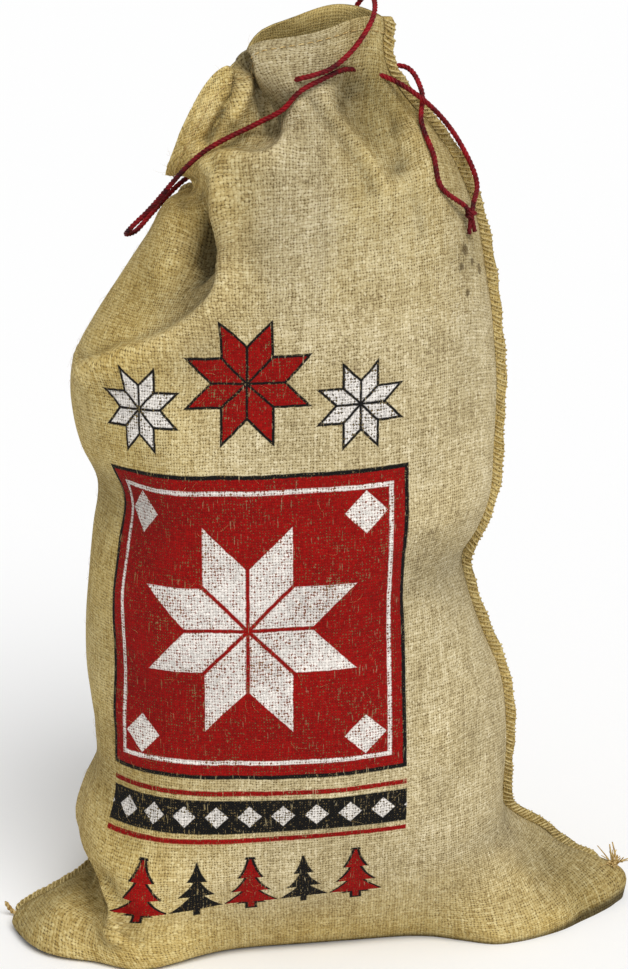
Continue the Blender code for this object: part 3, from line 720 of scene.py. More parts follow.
# In millimetres. Lines that run up have their right side at greater x.
CREASE_ROWS = [
    ("lobe bulge", FRONT, (-128, 742, -118, 766, -106, 788), 11, 4, 14),
    ("slit", FRONT, (-34, 752, -40, 765, -48, 788, -53, 809, -58, 827), 3.4, -4.5, 12, 4.5, 14),
    ("lobe trough", FRONT, (-99, 740, -87, 761, -78, 779, -69, 796, -66, 812), 4.4, -8, 10),
    ("lobe fold", FRONT, (-74, 760, -64, 780, -57, 798, -55, 815), 6, 5.5, 12),
    ("lobe hem", FRONT, (-118, 746, -107, 769, -96, 789, -81, 808), 2.2, -1.4, 10),
    ("shelf edge", FRONT, (-10, 792, -18, 778, -24, 762, -30, 750, -42, 743, -58, 741, -74, 741, -90, 738), 4, 3, 10,
     -5, 14),
    ("hollow edge", FRONT, (-7, 797, 8, 783, 22, 768, 36, 752, 52, 730, 64, 700), 5, 4, 20, -4.5, 22),
    ("hollow", FRONT, (14, 794, 38, 776, 62, 752, 84, 715), 19, -11, 20),
    ("hollow top", FRONT, (4, 796, 30, 798, 56, 791, 76, 775, 88, 752), 13, -8.5, 20),
    ("gather", FRONT, (70, 790, 78, 750, 90, 700, 98, 650), 8.5, -3, 30),
    ("second gather", FRONT, (88, 780, 104, 730, 118, 680), 7, 2.2, 30),
    ("panel edge", FRONT, (-215, 545, -195, 559, -168, 573, -143, 584, -118, 599, -100, 613, -87, 627, -81, 642, -84,
     661, -86, 680, -87, 705, -88, 730), 5.5, 4.2, 12, 7.5),
    ("valley wall", FRONT, (-104, 636, -98, 650, -92, 666, -94, 690), 7, -6, 12),
    ("under the lobe", FRONT, (-130, 688, -112, 700, -98, 706), 8, -6, 12),
    ("shoulder wrinkle", FRONT, (-150, 628, -130, 640, -112, 655), 8, 3, 20),
    ("left ear hollow", FRONT, (-222, 82, -213, 62, -203, 46, -193, 30), 15, -16.5, 20),
    ("left ear fold", FRONT, (-210, 90, -200, 74, -190, 61, -180, 47, -173, 33, -168, 18), 5, -1, 22, 9, 18),
    ("right ear dip", FRONT, (236, 64, 226, 52, 214, 42, 200, 34), 15, -2.4, 18, 1.2),
    ("left notch", FRONT, (-205, 430, -172, 452, -140, 466), 17, -1.2, 30),
    ("left low notch", FRONT, (-212, 196, -185, 212, -150, 222), 16, -1.2, 30),
    ("right notch", FRONT, (150, 352, 128, 362, 94, 367), 18, -1.2, 30),
    ("rim turn", FRONT, (-52, 834, -44, 842, -34, 846), 6, 2, 10),
    ("rim notch", FRONT, (-76, 810, -68, 821, -60, 832), 8.5, -10, 12),
    ("rim notch behind", BACK, (-76, 810, -68, 821, -60, 832), 8.5, -10, 12),
    ("back rim band", BACK, (-50, 838, -20, 848, 14, 856, 40, 858), 3, -1.6, 12),
    ("back crease", BACK, (-120, 470, -30, 440, 60, 430), 14, -3.5, 30),
    ("back low crease", BACK, (120, 180, 40, 140, -40, 120), 14, -3.5, 30),
    ("back drape", BACK, (-80, 640, -105, 560, -140, 480), 13, 4, 30),
    ("back drape right", BACK, (60, 640, 80, 570, 110, 500), 13, 3.6, 30),
]
CREASES = [Crease(name, face, np.reshape(line, (-1, 2)) / MM, *(size / MM for size in sizes))
           for name, face, line, *sizes in CREASE_ROWS]


def held(value: Points) -> Points:
    """Kept between zero and one."""
    return np.clip(value, 0.0, 1.0)


def eased(value: Points) -> Points:
    """A smooth rise for shares from zero to one."""
    return value * value * (3.0 - 2.0 * value)


def unit(ways: Points) -> Points:
    """Ways made one long."""
    return ways / np.linalg.norm(ways, axis=-1, keepdims=True)


def lengths(line: Points) -> Points:
    """How far along a line each of its points lies."""
    return np.append(0.0, np.cumsum(np.linalg.norm(np.diff(line, axis=0), axis=1)))


def read(at: Union[float, Points], places: Points, values: Points) -> Points:
    """Rows of values read straight between their places."""
    return np.stack([np.interp(at, places, column) for column in values.T], axis=-1)


def beside(grid: Points) -> Points:
    """Middle of the two neighbours that each point has in its ring."""
    return 0.5 * (np.roll(grid, 1, axis=1) + np.roll(grid, -1, axis=1))


def above_below(grid: Points) -> Points:
    """Middle of the two neighbours that each point has in the rings under and over its own.

    Args:
        grid: rings of points.

    Returns:
        The same rings, with the first and the last as they were.
    """
    middle = grid.copy()
    middle[1:-1] = 0.5 * (grid[:-2] + grid[2:])
    return middle


def facing(normals: Points, face: Face) -> Points:
    """How much of a fold each point shows, by the side that it looks to."""
    return held(0.5 + 2.0 * face.value * normals[:, :, 1])


def smooth(places: Points, values: Points, at: Points) -> Points:
    """Read a smooth curve through rows of values.

    Args:
        places: where the rows lie.
        values: one row for each place.
        at: where to read.

    Returns:
        One row for each reading.
    """
    slopes = np.gradient(values, places, axis=0)
    span = np.clip(np.searchsorted(places, at, side="right") - 1, 0, len(places) - 2)
    length = (places[span + 1] - places[span]).reshape((-1,) + (1,) * (values.ndim - 1))
    t = (at - places[span]).reshape(length.shape) / length
    return ((2 * t**3 - 3 * t**2 + 1) * values[span] + (t**3 - 2 * t**2 + t) * length * slopes[span]
            + (3 * t**2 - 2 * t**3) * values[span + 1] + (t**3 - t**2) * length * slopes[span + 1])


def grid_normals(grid: Points) -> Points:
    """Outward unit normals of a grid of rings, from the floor up."""
    round_way = np.roll(grid, -1, axis=1) - np.roll(grid, 1, axis=1)
    return unit(np.cross(np.gradient(grid, axis=0), round_way))


@dataclass
class SackForm:
    """The sack's standing form: slices from floor to hem with folds pressed in, read at any fineness."""

    front_steps: int = 40           # coarse points across the front, and across the back
    back_steps: int = 23
    plain_share: float = 0.42       # right-hand part of the front, which has few folds
    plain_steps: float = 0.30       # and the share of the points that it gets
    angles: int = 720
    ear_solid: float = 0.022        # last part of each bottom corner, where the two layers are sewn together
    ear_top: float = 0.20           # cloth length that these corners end below
    ease_rounds: int = 4            # how often the folds above the shoulder are eased, how far, and from where
    ease: float = 0.5
    ease_from: float = 0.50
    ease_over: float = 0.15
    arch_left: float = 1.8          # how soon the rise of a slice falls off towards its ends
    arch_right: float = 5.0
    ear_front: float = 0.8          # fullness of a bottom corner, fuller where smaller
    ear_back: float = 1.3
    floor_roll: float = 0.06        # height below which folds are pushed level
    front_cells: int = 216          # fine points across the front, and across the back
    back_cells: int = 64
    row_runs: tuple[float, ...] = (0.0, 0.10, 0.54, 0.945)      # cloth lengths between which the rows are even
    row_counts: tuple[float, ...] = (0.0, 40.0, 108.0, 288.0)   # rows up to there
    line_points: int = 60
    swells: int = 26                # waves in the cloth's broad unevenness
    swell_long: tuple[float, float] = (0.045, 0.16)     # their lengths
    buckle: float = 0.0011          # and their depth
    hollow_rounds: int = 40
    hollow_depth: float = 0.0035

    def coarse_runs(self) -> Points:
        """Cloth lengths of the coarse rows."""
        runs = [np.linspace(low.run, high.run, low.rows, endpoint=False) for low, high in zip(CUTS, CUTS[1:])]
        return np.append(np.concatenate(runs), CUTS[-1].run)

    def fine_runs(self) -> Points:
        """Cloth lengths of the fine rows."""
        return np.interp(np.arange(self.row_counts[-1] + 1.0), self.row_counts, self.row_runs)

    def outline(self, cut: Cut, angle: Points, ear_solid: float) -> Points:
        """Points of one slice.

        Args:
            cut: the slice.
            angle: angles round it, from its right end along the front.
            ear_solid: length taken off its drawn-out corners.

        Returns:
            A point for each angle.
        """
        half = 0.5 * np.hypot(cut.right_x - cut.left_x, cut.right_z - cut.left_z)
        cosine, sine = np.cos(angle), np.sin(angle)
        power = 2.0 / cut.square
        along = half * np.sign(cosine) * np.abs(cosine) ** power
        deep = np.where(sine > 0.0, cut.front, cut.back)
        across = -deep * np.sign(sine) * np.abs(sine) ** power
        ear = np.where(cosine > 0.0, max(cut.ear_right - ear_solid, 0.0), -max(cut.ear_left - ear_solid, 0.0))
        fullness = np.where(sine > 0.0, self.ear_front, self.ear_back)
        along = along + ear * np.clip(1.0 - np.abs(across) / deep, 0.0, 1.0) ** fullness
        fall = np.where(along > 0.0, self.arch_right, self.arch_left)
        rise = cut.arch * (1.0 - np.clip(np.abs(along) / half, 0.0, 1.0) ** fall)
        turn = np.radians(cut.turn)
        flat_x = along * np.cos(turn) - across * np.sin(turn)
        flat_y = along * np.sin(turn) + across * np.cos(turn)
        tilt = np.arctan2(cut.right_z - cut.left_z, cut.right_x - cut.left_x)
        return np.stack([
            0.5 * (cut.left_x + cut.right_x) + flat_x * np.cos(tilt) - rise * np.sin(tilt),
            cut.mid_y + flat_y,
            0.5 * (cut.left_z + cut.right_z) + flat_x * np.sin(tilt) + rise * np.cos(tilt)], axis=1)

    def ring(self, cut: Cut, ear_solid: float) -> Points:
        """Coarse points round one slice, from the right seam along the front to the left one and back.

        Args:
            cut: the slice.
            ear_solid: length taken off its drawn-out corners.

        Returns:
            The points.
        """
        angle = np.linspace(0.0, 2.0 * np.pi, self.angles + 1)
        length = lengths(self.outline(cut, angle, 0.0))
        left_seam = length[self.angles // 2] + cut.seam_left
        share = np.interp(np.arange(self.front_steps) / self.front_steps,
                          (0.0, self.plain_steps, 1.0), (0.0, self.plain_share, 1.0))
        stops = np.concatenate([
            cut.seam_right + share * (left_seam - cut.seam_right),
            np.linspace(left_seam, cut.seam_right + length[-1], self.back_steps, endpoint=False)])
        return self.outline(cut, np.interp(stops % length[-1], length, angle), ear_solid)

    def loft(self, ear_solid: float) -> Points:
        """Coarse grid on the middle of the cloth, before its folds.

        Args:
            ear_solid: length taken off the bottom corners.

        Returns:
            The grid.
        """
        runs = self.coarse_runs()
        table = smooth(np.array([cut.run for cut in CUTS]), np.array([cut[2:] for cut in CUTS], float), runs)
        return np.array([self.ring(Cut(run, 0, *row), ear_solid if run < self.ear_top else 0.0)
                         for run, row in zip(runs, table)])

    def press(self, grid: Points, folds: Sequence[Fold]) -> Points:
        """Press folds into a grid.

        Args:
            grid: rings from the floor up.
            folds: what to press in.

        Returns:
            The folded grid.
        """
        normals = grid_normals(grid)
        x, z = grid[:, :, 0], grid[:, :, 2]
        push = normals.copy()
        push[:, :, 2] *= held(z / self.floor_roll)
        push = unit(push)
        moved = grid.copy()
        for fold in folds:
            line = np.array([fold.x2 - fold.x1, fold.z2 - fold.z1])
            along = held(((x - fold.x1) * line[0] + (z - fold.z1) * line[1]) / (line @ line))
            distance = np.hypot(x - fold.x1 - along * line[0], z - fold.z1 - along * line[1])
            pale_middle = held(along / fold.fade) if fold.fade else np.ones_like(along)
            strength = np.exp(-(distance / fold.width) ** 2) * eased(pale_middle)
            drag = np.array([fold.shift_x, 0.0, fold.shift_z])
            moved += (facing(normals, fold.face) * strength)[:, :, None] * (fold.push * push + drag)
        return moved

    def crease(self, grid: Points, creases: Sequence[Crease]) -> Points:
        """Press narrow creases into a grid.

        Args:
            grid: rings from the floor up.
            creases: what to press in.

        Returns:
            The creased grid.
        """
        normals = grid_normals(grid)
        flat = grid[:, :, (0, 2)]
        moved = grid.copy()
        for crease in creases:
            places = lengths(crease.line)
            along = np.linspace(0.0, places[-1], self.line_points)
            line = smooth(places, crease.line, along)
            ahead = unit(np.gradient(line, axis=0))
            off = flat[:, :, None, :] - line
            nearest = np.argmin(np.sum(off * off, axis=3), axis=2)
            off = np.take_along_axis(off, nearest[:, :, None, None], axis=2)[:, :, 0]
            way = ahead[nearest]
            right = off[:, :, 0] * way[:, :, 1] - off[:, :, 1] * way[:, :, 0]
            distance = np.linalg.norm(off, axis=2)
            ends = eased(held(np.minimum(along, places[-1] - along) / crease.fade))[nearest]
            rise = (crease.push * np.exp(-(distance / crease.width) ** 2)
                    + crease.step * np.tanh(right / crease.width) * np.exp(-(distance / crease.reach) ** 2))
            moved += (rise * ends * facing(normals, crease.face))[:, :, None] * normals
        return moved

    def soften(self, grid: Points) -> Points:
        """Ease the folds above the shoulder: each point moves part of the way to its neighbours' middle.

        Args:
            grid: the coarse grid.

        Returns:
            The eased grid.
        """
        share = self.ease * held((self.coarse_runs() - self.ease_from) / self.ease_over)
        for _ in range(self.ease_rounds):
            level = beside(grid)
            middle = 0.5 * (level + above_below(grid))
            middle[-1] = level[-1]
            grid = grid + share[:, None, None] * (middle - grid)
        return grid

    def refine(self, grid: Points) -> Points:
        """Read the coarse grid as a smooth surface, with its two seams kept sharp.

        Args:
            grid: the coarse grid.

        Returns:
            The fine grid.
        """
        tall = smooth(self.coarse_runs(), grid, self.fine_runs())
        closed = np.concatenate([tall, tall[:, :1]], axis=1).transpose(1, 0, 2)
        share = np.linspace(0.0, 1.0, self.front_cells, endpoint=False)
        front_at = self.front_steps * np.interp(share, (0.0, self.plain_share, 1.0), (0.0, self.plain_steps, 1.0))
        back_at = np.linspace(0.0, self.back_steps, self.back_cells, endpoint=False)
        front = smooth(np.arange(self.front_steps + 1.0), closed[:self.front_steps + 1], front_at)
        back = smooth(np.arange(self.back_steps + 1.0), closed[self.front_steps:], back_at)
        return np.concatenate([front, back]).transpose(1, 0, 2)

    def undulate(self, grid: Points) -> Points:
        """Give the cloth a broad, shallow unevenness.

        Args:
            grid: the fine grid.

        Returns:
            The uneven grid.
        """
        chance = np.random.default_rng(SEED)
        swell = np.zeros(grid.shape[:2])
        for _ in range(self.swells):
            way = unit(chance.normal(size=3))
            length = chance.uniform(*self.swell_long)
            phase = chance.uniform(0.0, 2.0 * np.pi)
            swell += length / 0.10 * np.sin(2.0 * np.pi * (grid @ way) / length + phase)
        swell *= self.buckle / math.sqrt(self.swells / 2.0)
        low = held(grid[:, :, 2] / 0.05)
        hem = np.clip((CUTS[-1].run - 0.10 - self.fine_runs()) / 0.10, 0.25, 1.0)[:, None]
        return grid + grid_normals(grid) * (swell * low * hem)[:, :, None]

    def surface(self, lining: bool = False) -> Points:
        """The fine grid on the middle of the cloth.

        Args:
            lining: whether the corners stop short, as the inner face does.

        Returns:
            The grid.
        """
        coarse = self.soften(self.press(self.loft(self.ear_solid if lining else 0.0), FOLDS))
        grid = self.undulate(self.crease(self.refine(coarse), CREASES))
        grid[0, :, 2] = 0.0
        return grid

    def hollows(self, grid: Points) -> Points:
        """How far each point lies in a hollow, from one down to minus one on a ridge.

        Args:
            grid: the fine grid.

        Returns:
            A value for each point.
        """
        level = grid
        for _ in range(self.hollow_rounds):
            level = 0.5 * (beside(level) + above_below(level))
        sunk = np.sum((level - grid) * grid_normals(grid), axis=2)
        return np.clip(sunk / self.hollow_depth, -1.0, 1.0)


# The pieces

def linked(name: str, data: bpy.types.ID) -> Thing:
    """Put a mesh, light or camera in the scene.

    Args:
        name: its name.
        data: what it is.

    Returns:
        Its object.
    """
    thing = bpy.data.objects.new(name, data)
    bpy.context.scene.collection.objects.link(thing)
    return thing


def make_piece(name: str, points: Points, faces: Sequence[Sequence[int]], material: Material) -> Thing:
    """Make a mesh piece that rides on the sack.

    Args:
        name: its name.
        points: its points, in the tables' coordinates.
        faces: its faces.
        material: its finish.

    Returns:
        The piece.
    """
    mesh = bpy.data.meshes.new(name)
    mesh.from_pydata((points - CENTRE).tolist(), [], [list(face) for face in faces])
    mesh.validate()
    mesh.shade_smooth()
    mesh.materials.append(material)
    piece = linked(name, mesh)
    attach(piece, ROOT)
    log.info("%s: %d faces", name, len(mesh.polygons))
    return piece


@dataclass
class Tubes:
    """Many round threads in one mesh."""

    sides: int = 6
    points: list[Points] = field(default_factory=list)
    faces: list[tuple[int, ...]] = field(default_factory=list)
    count: int = 0

    def thread(self, path: Points, radius: Union[float, Points]) -> None:
        """Add one thread.

        Args:
            path: its middle line.
            radius: its radius, all along or at each point.
        """
        sides = self.sides
        frames = transported(path)
        radii = np.broadcast_to(radius, (len(path),))
        angle = np.linspace(0.0, 2.0 * np.pi, sides, endpoint=False)
        spoke = np.cos(angle)[None, :, None] * frames[:, None, 0] + np.sin(angle)[None, :, None] * frames[:, None, 1]
        self.points.append((path[:, None] + spoke * radii[:, None, None]).reshape(-1, 3))
        first, last = self.count, self.count + (len(path) - 1) * sides
        self.count = last + sides
        for low in range(first, last, sides):
            for side in range(sides):
                then = (side + 1) % sides
                self.faces.append((low + side, low + then, low + sides + then, low + sides + side))
        self.faces.append(tuple(range(first + sides - 1, first - 1, -1)))
        self.faces.append(tuple(range(last, last + sides)))

    def piece(self, name: str, material: Material, slot: str = BURLAP_SLOT) -> Thing:
        """Make the piece that holds all the threads."""
        return make_piece(name, np.concatenate(self.points), self.faces, material)


def transported(path: Points) -> Points:
    """Two sideways directions at each point of a line, turned no more than the line turns.

    Args:
        path: the line.

    Returns:
        Both directions at each point.
    """
    ahead = unit(np.gradient(path, axis=0))
    side = np.array([0.0, 0.0, 1.0]) if abs(ahead[0, 2]) < 0.9 else np.array([1.0, 0.0, 0.0])
    frames = np.empty((len(ahead), 2, 3))
    for index, way in enumerate(ahead):
        side = unit(side - way * (side @ way))
        frames[index] = side, np.cross(way, side)
    return frames


def twisted(path: Points, strands: int, reach: float, pitch: float) -> list[Points]:
    """Middle lines of the strands of a twisted cord.

    Args:
        path: the cord's middle line, in even steps.
        strands: how many there are.
        reach: how far each lies from the middle.
        pitch: length of one full turn.

    Returns:
        A line for each strand.
    """
    frames = transported(path)
    turns = [2.0 * np.pi * (lengths(path) / pitch + strand / strands)[:, None] for strand in range(strands)]
    return [path + reach * (np.cos(turn) * frames[:, 0] + np.sin(turn) * frames[:, 1]) for turn in turns]


def even_steps(points: Points, step: float) -> Points:
    """A smooth line through points, read in even steps.

    Args:
        points: what it passes through.
        step: about how far apart the readings are.

    Returns:
        The readings.
    """
    places = lengths(points)
    fine = smooth(places, points, np.linspace(0.0, places[-1], 40 * len(points)))
    length = lengths(fine)
    return read(np.linspace(0.0, length[-1], max(3, int(length[-1] / step))), length, fine)


class SeamLine(NamedTuple):
    """An overlocked edge, from the floor up to the rim."""

    root: Points        # where it leaves the cloth
    tip: Points         # its free edge
    side: Points        # unit way from its back face to its front face


@dataclass
class SackCloth:
    """The cloth: fine outer and inner skins, two seam edges, a rolled rim and a flat base."""

    form: SackForm
    cloth: float = 0.0022
    hem_cloth: float = 0.0034
    hem_depth: float = 0.030
    seam_edge: float = 0.009
    seam_thick: float = 0.0032
    rim_round: float = 0.0012       # rise of the rolled rim
    rim_thin: float = 0.3           # share of a seam edge's thickness at its top
    edge_runs: tuple[float, ...] = (0.0, 0.060, 0.12, 0.68, 0.76, 0.90, 0.935)     # share of the left seam's edge
    edge_shares: tuple[float, ...] = (0.6, 0.4, 1.0, 1.0, 0.35, 0.35, 0.8)         # that stands out at a cloth length
    set_back: float = 0.0032        # how much deeper the coarse lining lies, out of sight below the neck
    set_back_from: float = 0.12     # cloth length below the rim from which it does
    set_back_over: float = 0.06     # and over which it comes in
    lining_shade: float = 0.050     # depth below the rim at which the lining's painted shade is darkest
    even_rounds: int = 30           # how evenly the cloth's length runs up beside its neighbours
    flat_width: float = 0.60
    flat_length: float = 1.96

    def __post_init__(self) -> None:
        """Work out the middle grid and the wall's two faces."""
        self.grid = self.form.surface()
        lining = self.form.surface(lining=True)
        runs = self.form.fine_runs()
        hem = held((runs - (runs[-1] - self.hem_depth)) / 0.003)
        half = 0.5 * (self.cloth + hem * (self.hem_cloth - self.cloth))[:, None, None]
        deep = self.set_back * held((runs[-1] - self.set_back_from - runs) / self.set_back_over)[:, None, None]
        self.outer = self.grid + grid_normals(self.grid) * half
        self.inner = lining - grid_normals(lining) * (half + deep)
        self.outer[0, :, 2] = 0.0
        self.inner[0, :, 2] = self.cloth
        self.seams = [self.seam_line(0), self.seam_line(self.form.front_cells)]

    def seam_line(self, step: int) -> SeamLine:
        """The overlocked edge that stands out at one column of the grid.

        Args:
            step: the column.

        Returns:
            The edge.
        """
        runs = self.form.fine_runs()
        side = unit(np.roll(self.grid, 2, axis=1)[:, step] - np.roll(self.grid, -2, axis=1)[:, step])
        before, after = (unit(self.grid[:, step] - np.roll(self.grid, turn, axis=1)[:, step]) for turn in (3, -3))
        out = unit(grid_normals(self.grid)[:, step] * 0.35 + 0.5 * (before + after))
        out[0, 2] = side[0, 2] = 0.0
        share = np.interp(runs, self.edge_runs, self.edge_shares) if step else np.ones_like(runs)
        wave = 1.0 + 0.07 * np.sin(runs * 190.0 + step) + 0.05 * np.sin(runs * 71.0)    # uneven trimming
        root = self.outer[:, step]
        tip = root + out * (self.seam_edge * share * wave)[:, None]
        tip[:, 2] = np.maximum(tip[:, 2], 0.0)
        return SeamLine(root, tip, side)

    def places(self) -> tuple[Points, Points]:
        """Place of each outer point on the flat cloth.

        Returns:
            Distance along the weft from the middle of its panel, and along the warp from the floor.
        """
        front = self.form.front_cells
        plain = self.form.refine(self.form.loft(0.0))
        closed = np.concatenate([plain, plain[:, :1]], axis=1)
        length = np.array([lengths(ring) for ring in closed])
        across = np.empty_like(length)
        for part, turn in ((slice(front + 1), -1.0), (slice(front, None), 1.0)):
            for row, x in enumerate(closed[:, part, 0]):
                order = np.argsort(x)
                zero = np.interp(0.0, x[order], length[row, part][order])
                across[row, part] = turn * (length[row, part] - zero)
        rising = np.linalg.norm(np.diff(plain, axis=0), axis=2)
        for _ in range(self.even_rounds):
            rising = 0.5 * (rising + beside(rising))
        return across, np.concatenate([np.zeros((1, rising.shape[1])), np.cumsum(rising, axis=0)])

    def skin(self, across: Points, up: Points, first: Points, last: Points) -> tuple[Points, Points]:
        """The outer skin with its rim and seam edges.

        Args:
            across: place of its points along the weft.
            up: place along the warp.
            first: column of each step of the grid.
            last: the same, or the last column of the seam edge that stands there.

        Returns:
            Its points, and their places on the cloth and the side that they are on.
        """
        front = self.form.front_cells
        ring = np.concatenate([self.outer, self.grid[-1:] + np.array([0.0, 0.0, self.rim_round])])
        level = np.minimum(np.arange(len(ring)), len(ring) - 2)
        points, place = np.empty((2, len(ring), last[-1] + 1, 3))
        points[:, first] = ring
        place[:, first, 0], place[:, first, 1] = across[level, :-1], up[level]
        place[:, first, 2] = np.where(np.arange(len(first)) < front, 1.0, 2.0)
        for step, line, sign, sides in zip((0, front), self.seams, (1.0, -1.0), ((2, 2, 1, 1), (1, 1, 2, 2))):
            edge = slice(first[step], last[step] + 1)
            half = -sign * 0.5 * self.seam_thick * line.side[level]
            half[-1] *= self.rim_thin
            rise = ring[:, step] - self.outer[level, step]
            root, tip = line.root[level] + rise, line.tip[level] + rise
            points[:, edge] = np.stack([root + half, tip + half, tip - half, root - half], axis=1)
            place[:, edge, 0] = across[level, step][:, None] + sign * self.seam_edge * np.array([0.0, 1.0, 1.0, 0.0])
            place[:, edge, 1] = up[level, step][:, None]
            place[:, edge, 2] = sides
        return points, place

    def build(self, material: Material) -> Thing:
        """Make the cloth.

        Args:
            material: its finish.

        Returns:
            The piece.
        """
        rows, around = self.grid.shape[:2]
        seams = (0, self.form.front_cells)
        steps = np.arange(around)
        first = steps + 3 * np.searchsorted(seams, steps)       # a seam edge has three columns more
        last = first + 3 * np.isin(steps, seams)
        width = last[-1] + 1
        across, up = self.places()
        points, place = self.skin(across, up, first, last)

        faces: list[tuple[int, ...]] = []
        for low in range(0, rows * width, width):
            high = low + width
            for start, end in zip(last, np.roll(first, -1)):
                faces.append((low + start, high + start, high + end, low + end))
            for step in seams:
                for side in range(first[step], last[step]):
                    faces.append((low + side, high + side, high + side + 1, low + side + 1))
        faces.append(tuple(range(width)))

        # The lining has a point for every fourth row and every second step. The rim joins two of its steps to one.
        coarse = slice(None, None, 4), slice(None, None, 2)
        inner = self.inner[coarse]
        base, turn = (rows + 1) * width, inner.shape[1]
        top, brim = base + (len(inner) - 1) * turn, rows * width
        for low in range(base, top, turn):
            for step in range(turn):
                then = (step + 1) % turn
                faces.append((low + step, low + then, low + turn + then, low + turn + step))
        faces.append(tuple(range(base + turn - 1, base - 1, -1)))
        for step in range(0, around, 2):
            then = (step + 2) % around
            faces.append((brim + last[step], top + step // 2, top + then // 2, brim + first[then],
                          brim + first[step + 1]))
        for step in seams:
            faces.append((brim + first[step], top + step // 2, *range(brim + last[step], brim + first[step], -1)))

        piece = make_piece("cloth", np.concatenate([points.reshape(-1, 3), inner.reshape(-1, 3)]), faces, material)
        below = np.clip((up[-1] - up)[coarse] / self.lining_shade, 0.0, 0.9)
        inner_place = np.stack([across[:, :-1][coarse], up[coarse], 3.0 + below], axis=2)
        carry(piece, "cloth_place", np.concatenate([place.reshape(-1, 3), inner_place.reshape(-1, 3)]))
        # How far each point lies in a hollow; the finish paints shade in hollows and a highlight on ridges from it.
        sunk = self.form.hollows(self.grid)
        owner = np.searchsorted(first, np.arange(width), side="right") - 1
        sunk = np.concatenate([sunk, sunk[-1:]])[:, owner]
        carry(piece, "cloth_hollow", np.append(sunk.ravel(), np.zeros(below.size)))
        piece.data.set_sharp_from_angle(angle=math.radians(55.0))
        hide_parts("sack")
        return piece


def carry(piece: Thing, name: str, values: Points) -> None:
    """Give each point of a piece a number or vector that its finish reads by a name."""
    kind, key = ("FLOAT", "value") if values.ndim == 1 else ("FLOAT_VECTOR", "vector")
    piece.data.attributes.new(name, kind, "POINT").data.foreach_set(key, values.astype(np.float32).ravel())


@dataclass
class Overlock:
    """Thick yarn whipped over a seam's edge, stitch beside stitch."""

    line: SeamLine
    name: str
    pitch: float = 0.0050
    yarn: float = 0.00095
    lean: float = 1.0               # how far a stitch travels along the seam on each face, in pitches
    thick: float = 0.0032
    half: tuple[tuple[float, float, float], ...] = (    # along the seam, out to its edge, and off its front face
        (-0.50, 0.02, 0.8), (-0.36, 0.30, 1.0), (-0.20, 0.68, 1.0), (-0.08, 0.94, 0.7), (0.0, 1.04, 0.0))

    def build(self, material: Material) -> Thing:
        """Make the stitches.

        Args:
            material: their finish.

        Returns:
            The piece.
        """
        chance = np.random.default_rng(SEED + len(self.name))
        edge = lengths(self.line.tip)
        half = np.array(self.half)
        share, out, face = np.concatenate([half, half[-2::-1] * (-1.0, 1.0, -1.0)]).T[:, :, None]
        proud = 0.5 * self.thick + 0.35 * self.yarn
        tubes = Tubes(sides=6)
        for stop in np.arange(0.004, edge[-1] - 0.004, self.pitch):
            stop = stop + chance.uniform(-0.0011, 0.0011)
            size = chance.uniform(0.70, 1.15)
            out_by = chance.uniform(0.92, 1.06)
            at = np.clip(stop + 2.0 * share[:, 0] * self.lean * self.pitch, 0.0, edge[-1])
            root, tip, side = (read(at, edge, values) for values in self.line)
            path = root + (tip - root) * out * out_by + side * proud * face
            path[:, 2] = np.maximum(path[:, 2], self.yarn * size)
            tubes.thread(path, self.yarn * size)
        return tubes.piece(self.name, material)


@dataclass
class HemStitch:
    """A row of running stitches that holds the turned-in hem."""

    cloth: SackCloth
    below_rim: float = 0.0275
    stitch: float = 0.0052
    space: float = 0.0030
    yarn: float = 0.00055
    lift: tuple[float, ...] = (-0.0004, 0.0003, 0.0005, 0.0003, -0.0004)    # off the cloth, along one stitch

    def build(self, material: Material) -> Thing:
        """Make the stitches.

        Args:
            material: their finish.

        Returns:
            The piece.
        """
        runs = self.cloth.form.fine_runs()
        row = float(np.interp(runs[-1] - self.below_rim, runs, np.arange(len(runs))))
        low, share = int(row), row - int(row)
        ring = self.cloth.outer[low] * (1.0 - share) + self.cloth.outer[low + 1] * share
        closed, out = (np.concatenate([line, line[:1]]) for line in (ring, grid_normals(self.cloth.grid)[low]))
        length = lengths(closed)
        tubes = Tubes(sides=5)
        for stop in np.arange(0.0, length[-1] - self.stitch, self.stitch + self.space):
            at = stop + np.linspace(0.0, self.stitch, len(self.lift))
            tubes.thread(read(at, length, closed) + read(at, length, out) * np.array(self.lift)[:, None], self.yarn)
        return tubes.piece("hem_stitch", material)


@dataclass
class Fuzz:
    """Loose jute fibres that stand off the cloth."""

    cloth: SackCloth
    count: int = 1500
    thick: float = 0.00010

    def build(self, material: Material) -> Thing:
        """Make the fibres.

        Args:
            material: their finish.

        Returns:
            The piece.
        """
        chance = np.random.default_rng(SEED + 3)
        rows, around = self.cloth.outer.shape[:2]
        normals = grid_normals(self.cloth.grid)
        tubes = Tubes(sides=3)
        share = np.linspace(0.0, 1.0, 5)
        for _ in range(self.count):
            row, step = chance.integers(5, rows - 1), chance.integers(0, around)
            root, out = self.cloth.outer[row, step], normals[row, step]
            way = chance.normal(size=3)
            way = unit(way - out * (way @ out))
            bend = np.cross(out, way) * chance.normal() * 0.5
            length = chance.uniform(0.003, 0.012)
            lift = chance.uniform(0.12, 0.75)
            path = root + length * (share[:, None] * way + (share**2)[:, None] * bend
                                    + (lift * share * (1.25 - share))[:, None] * out)
            tubes.thread(path, self.thick * (1.0 - 0.7 * share))
        return tubes.piece("fuzz", material)


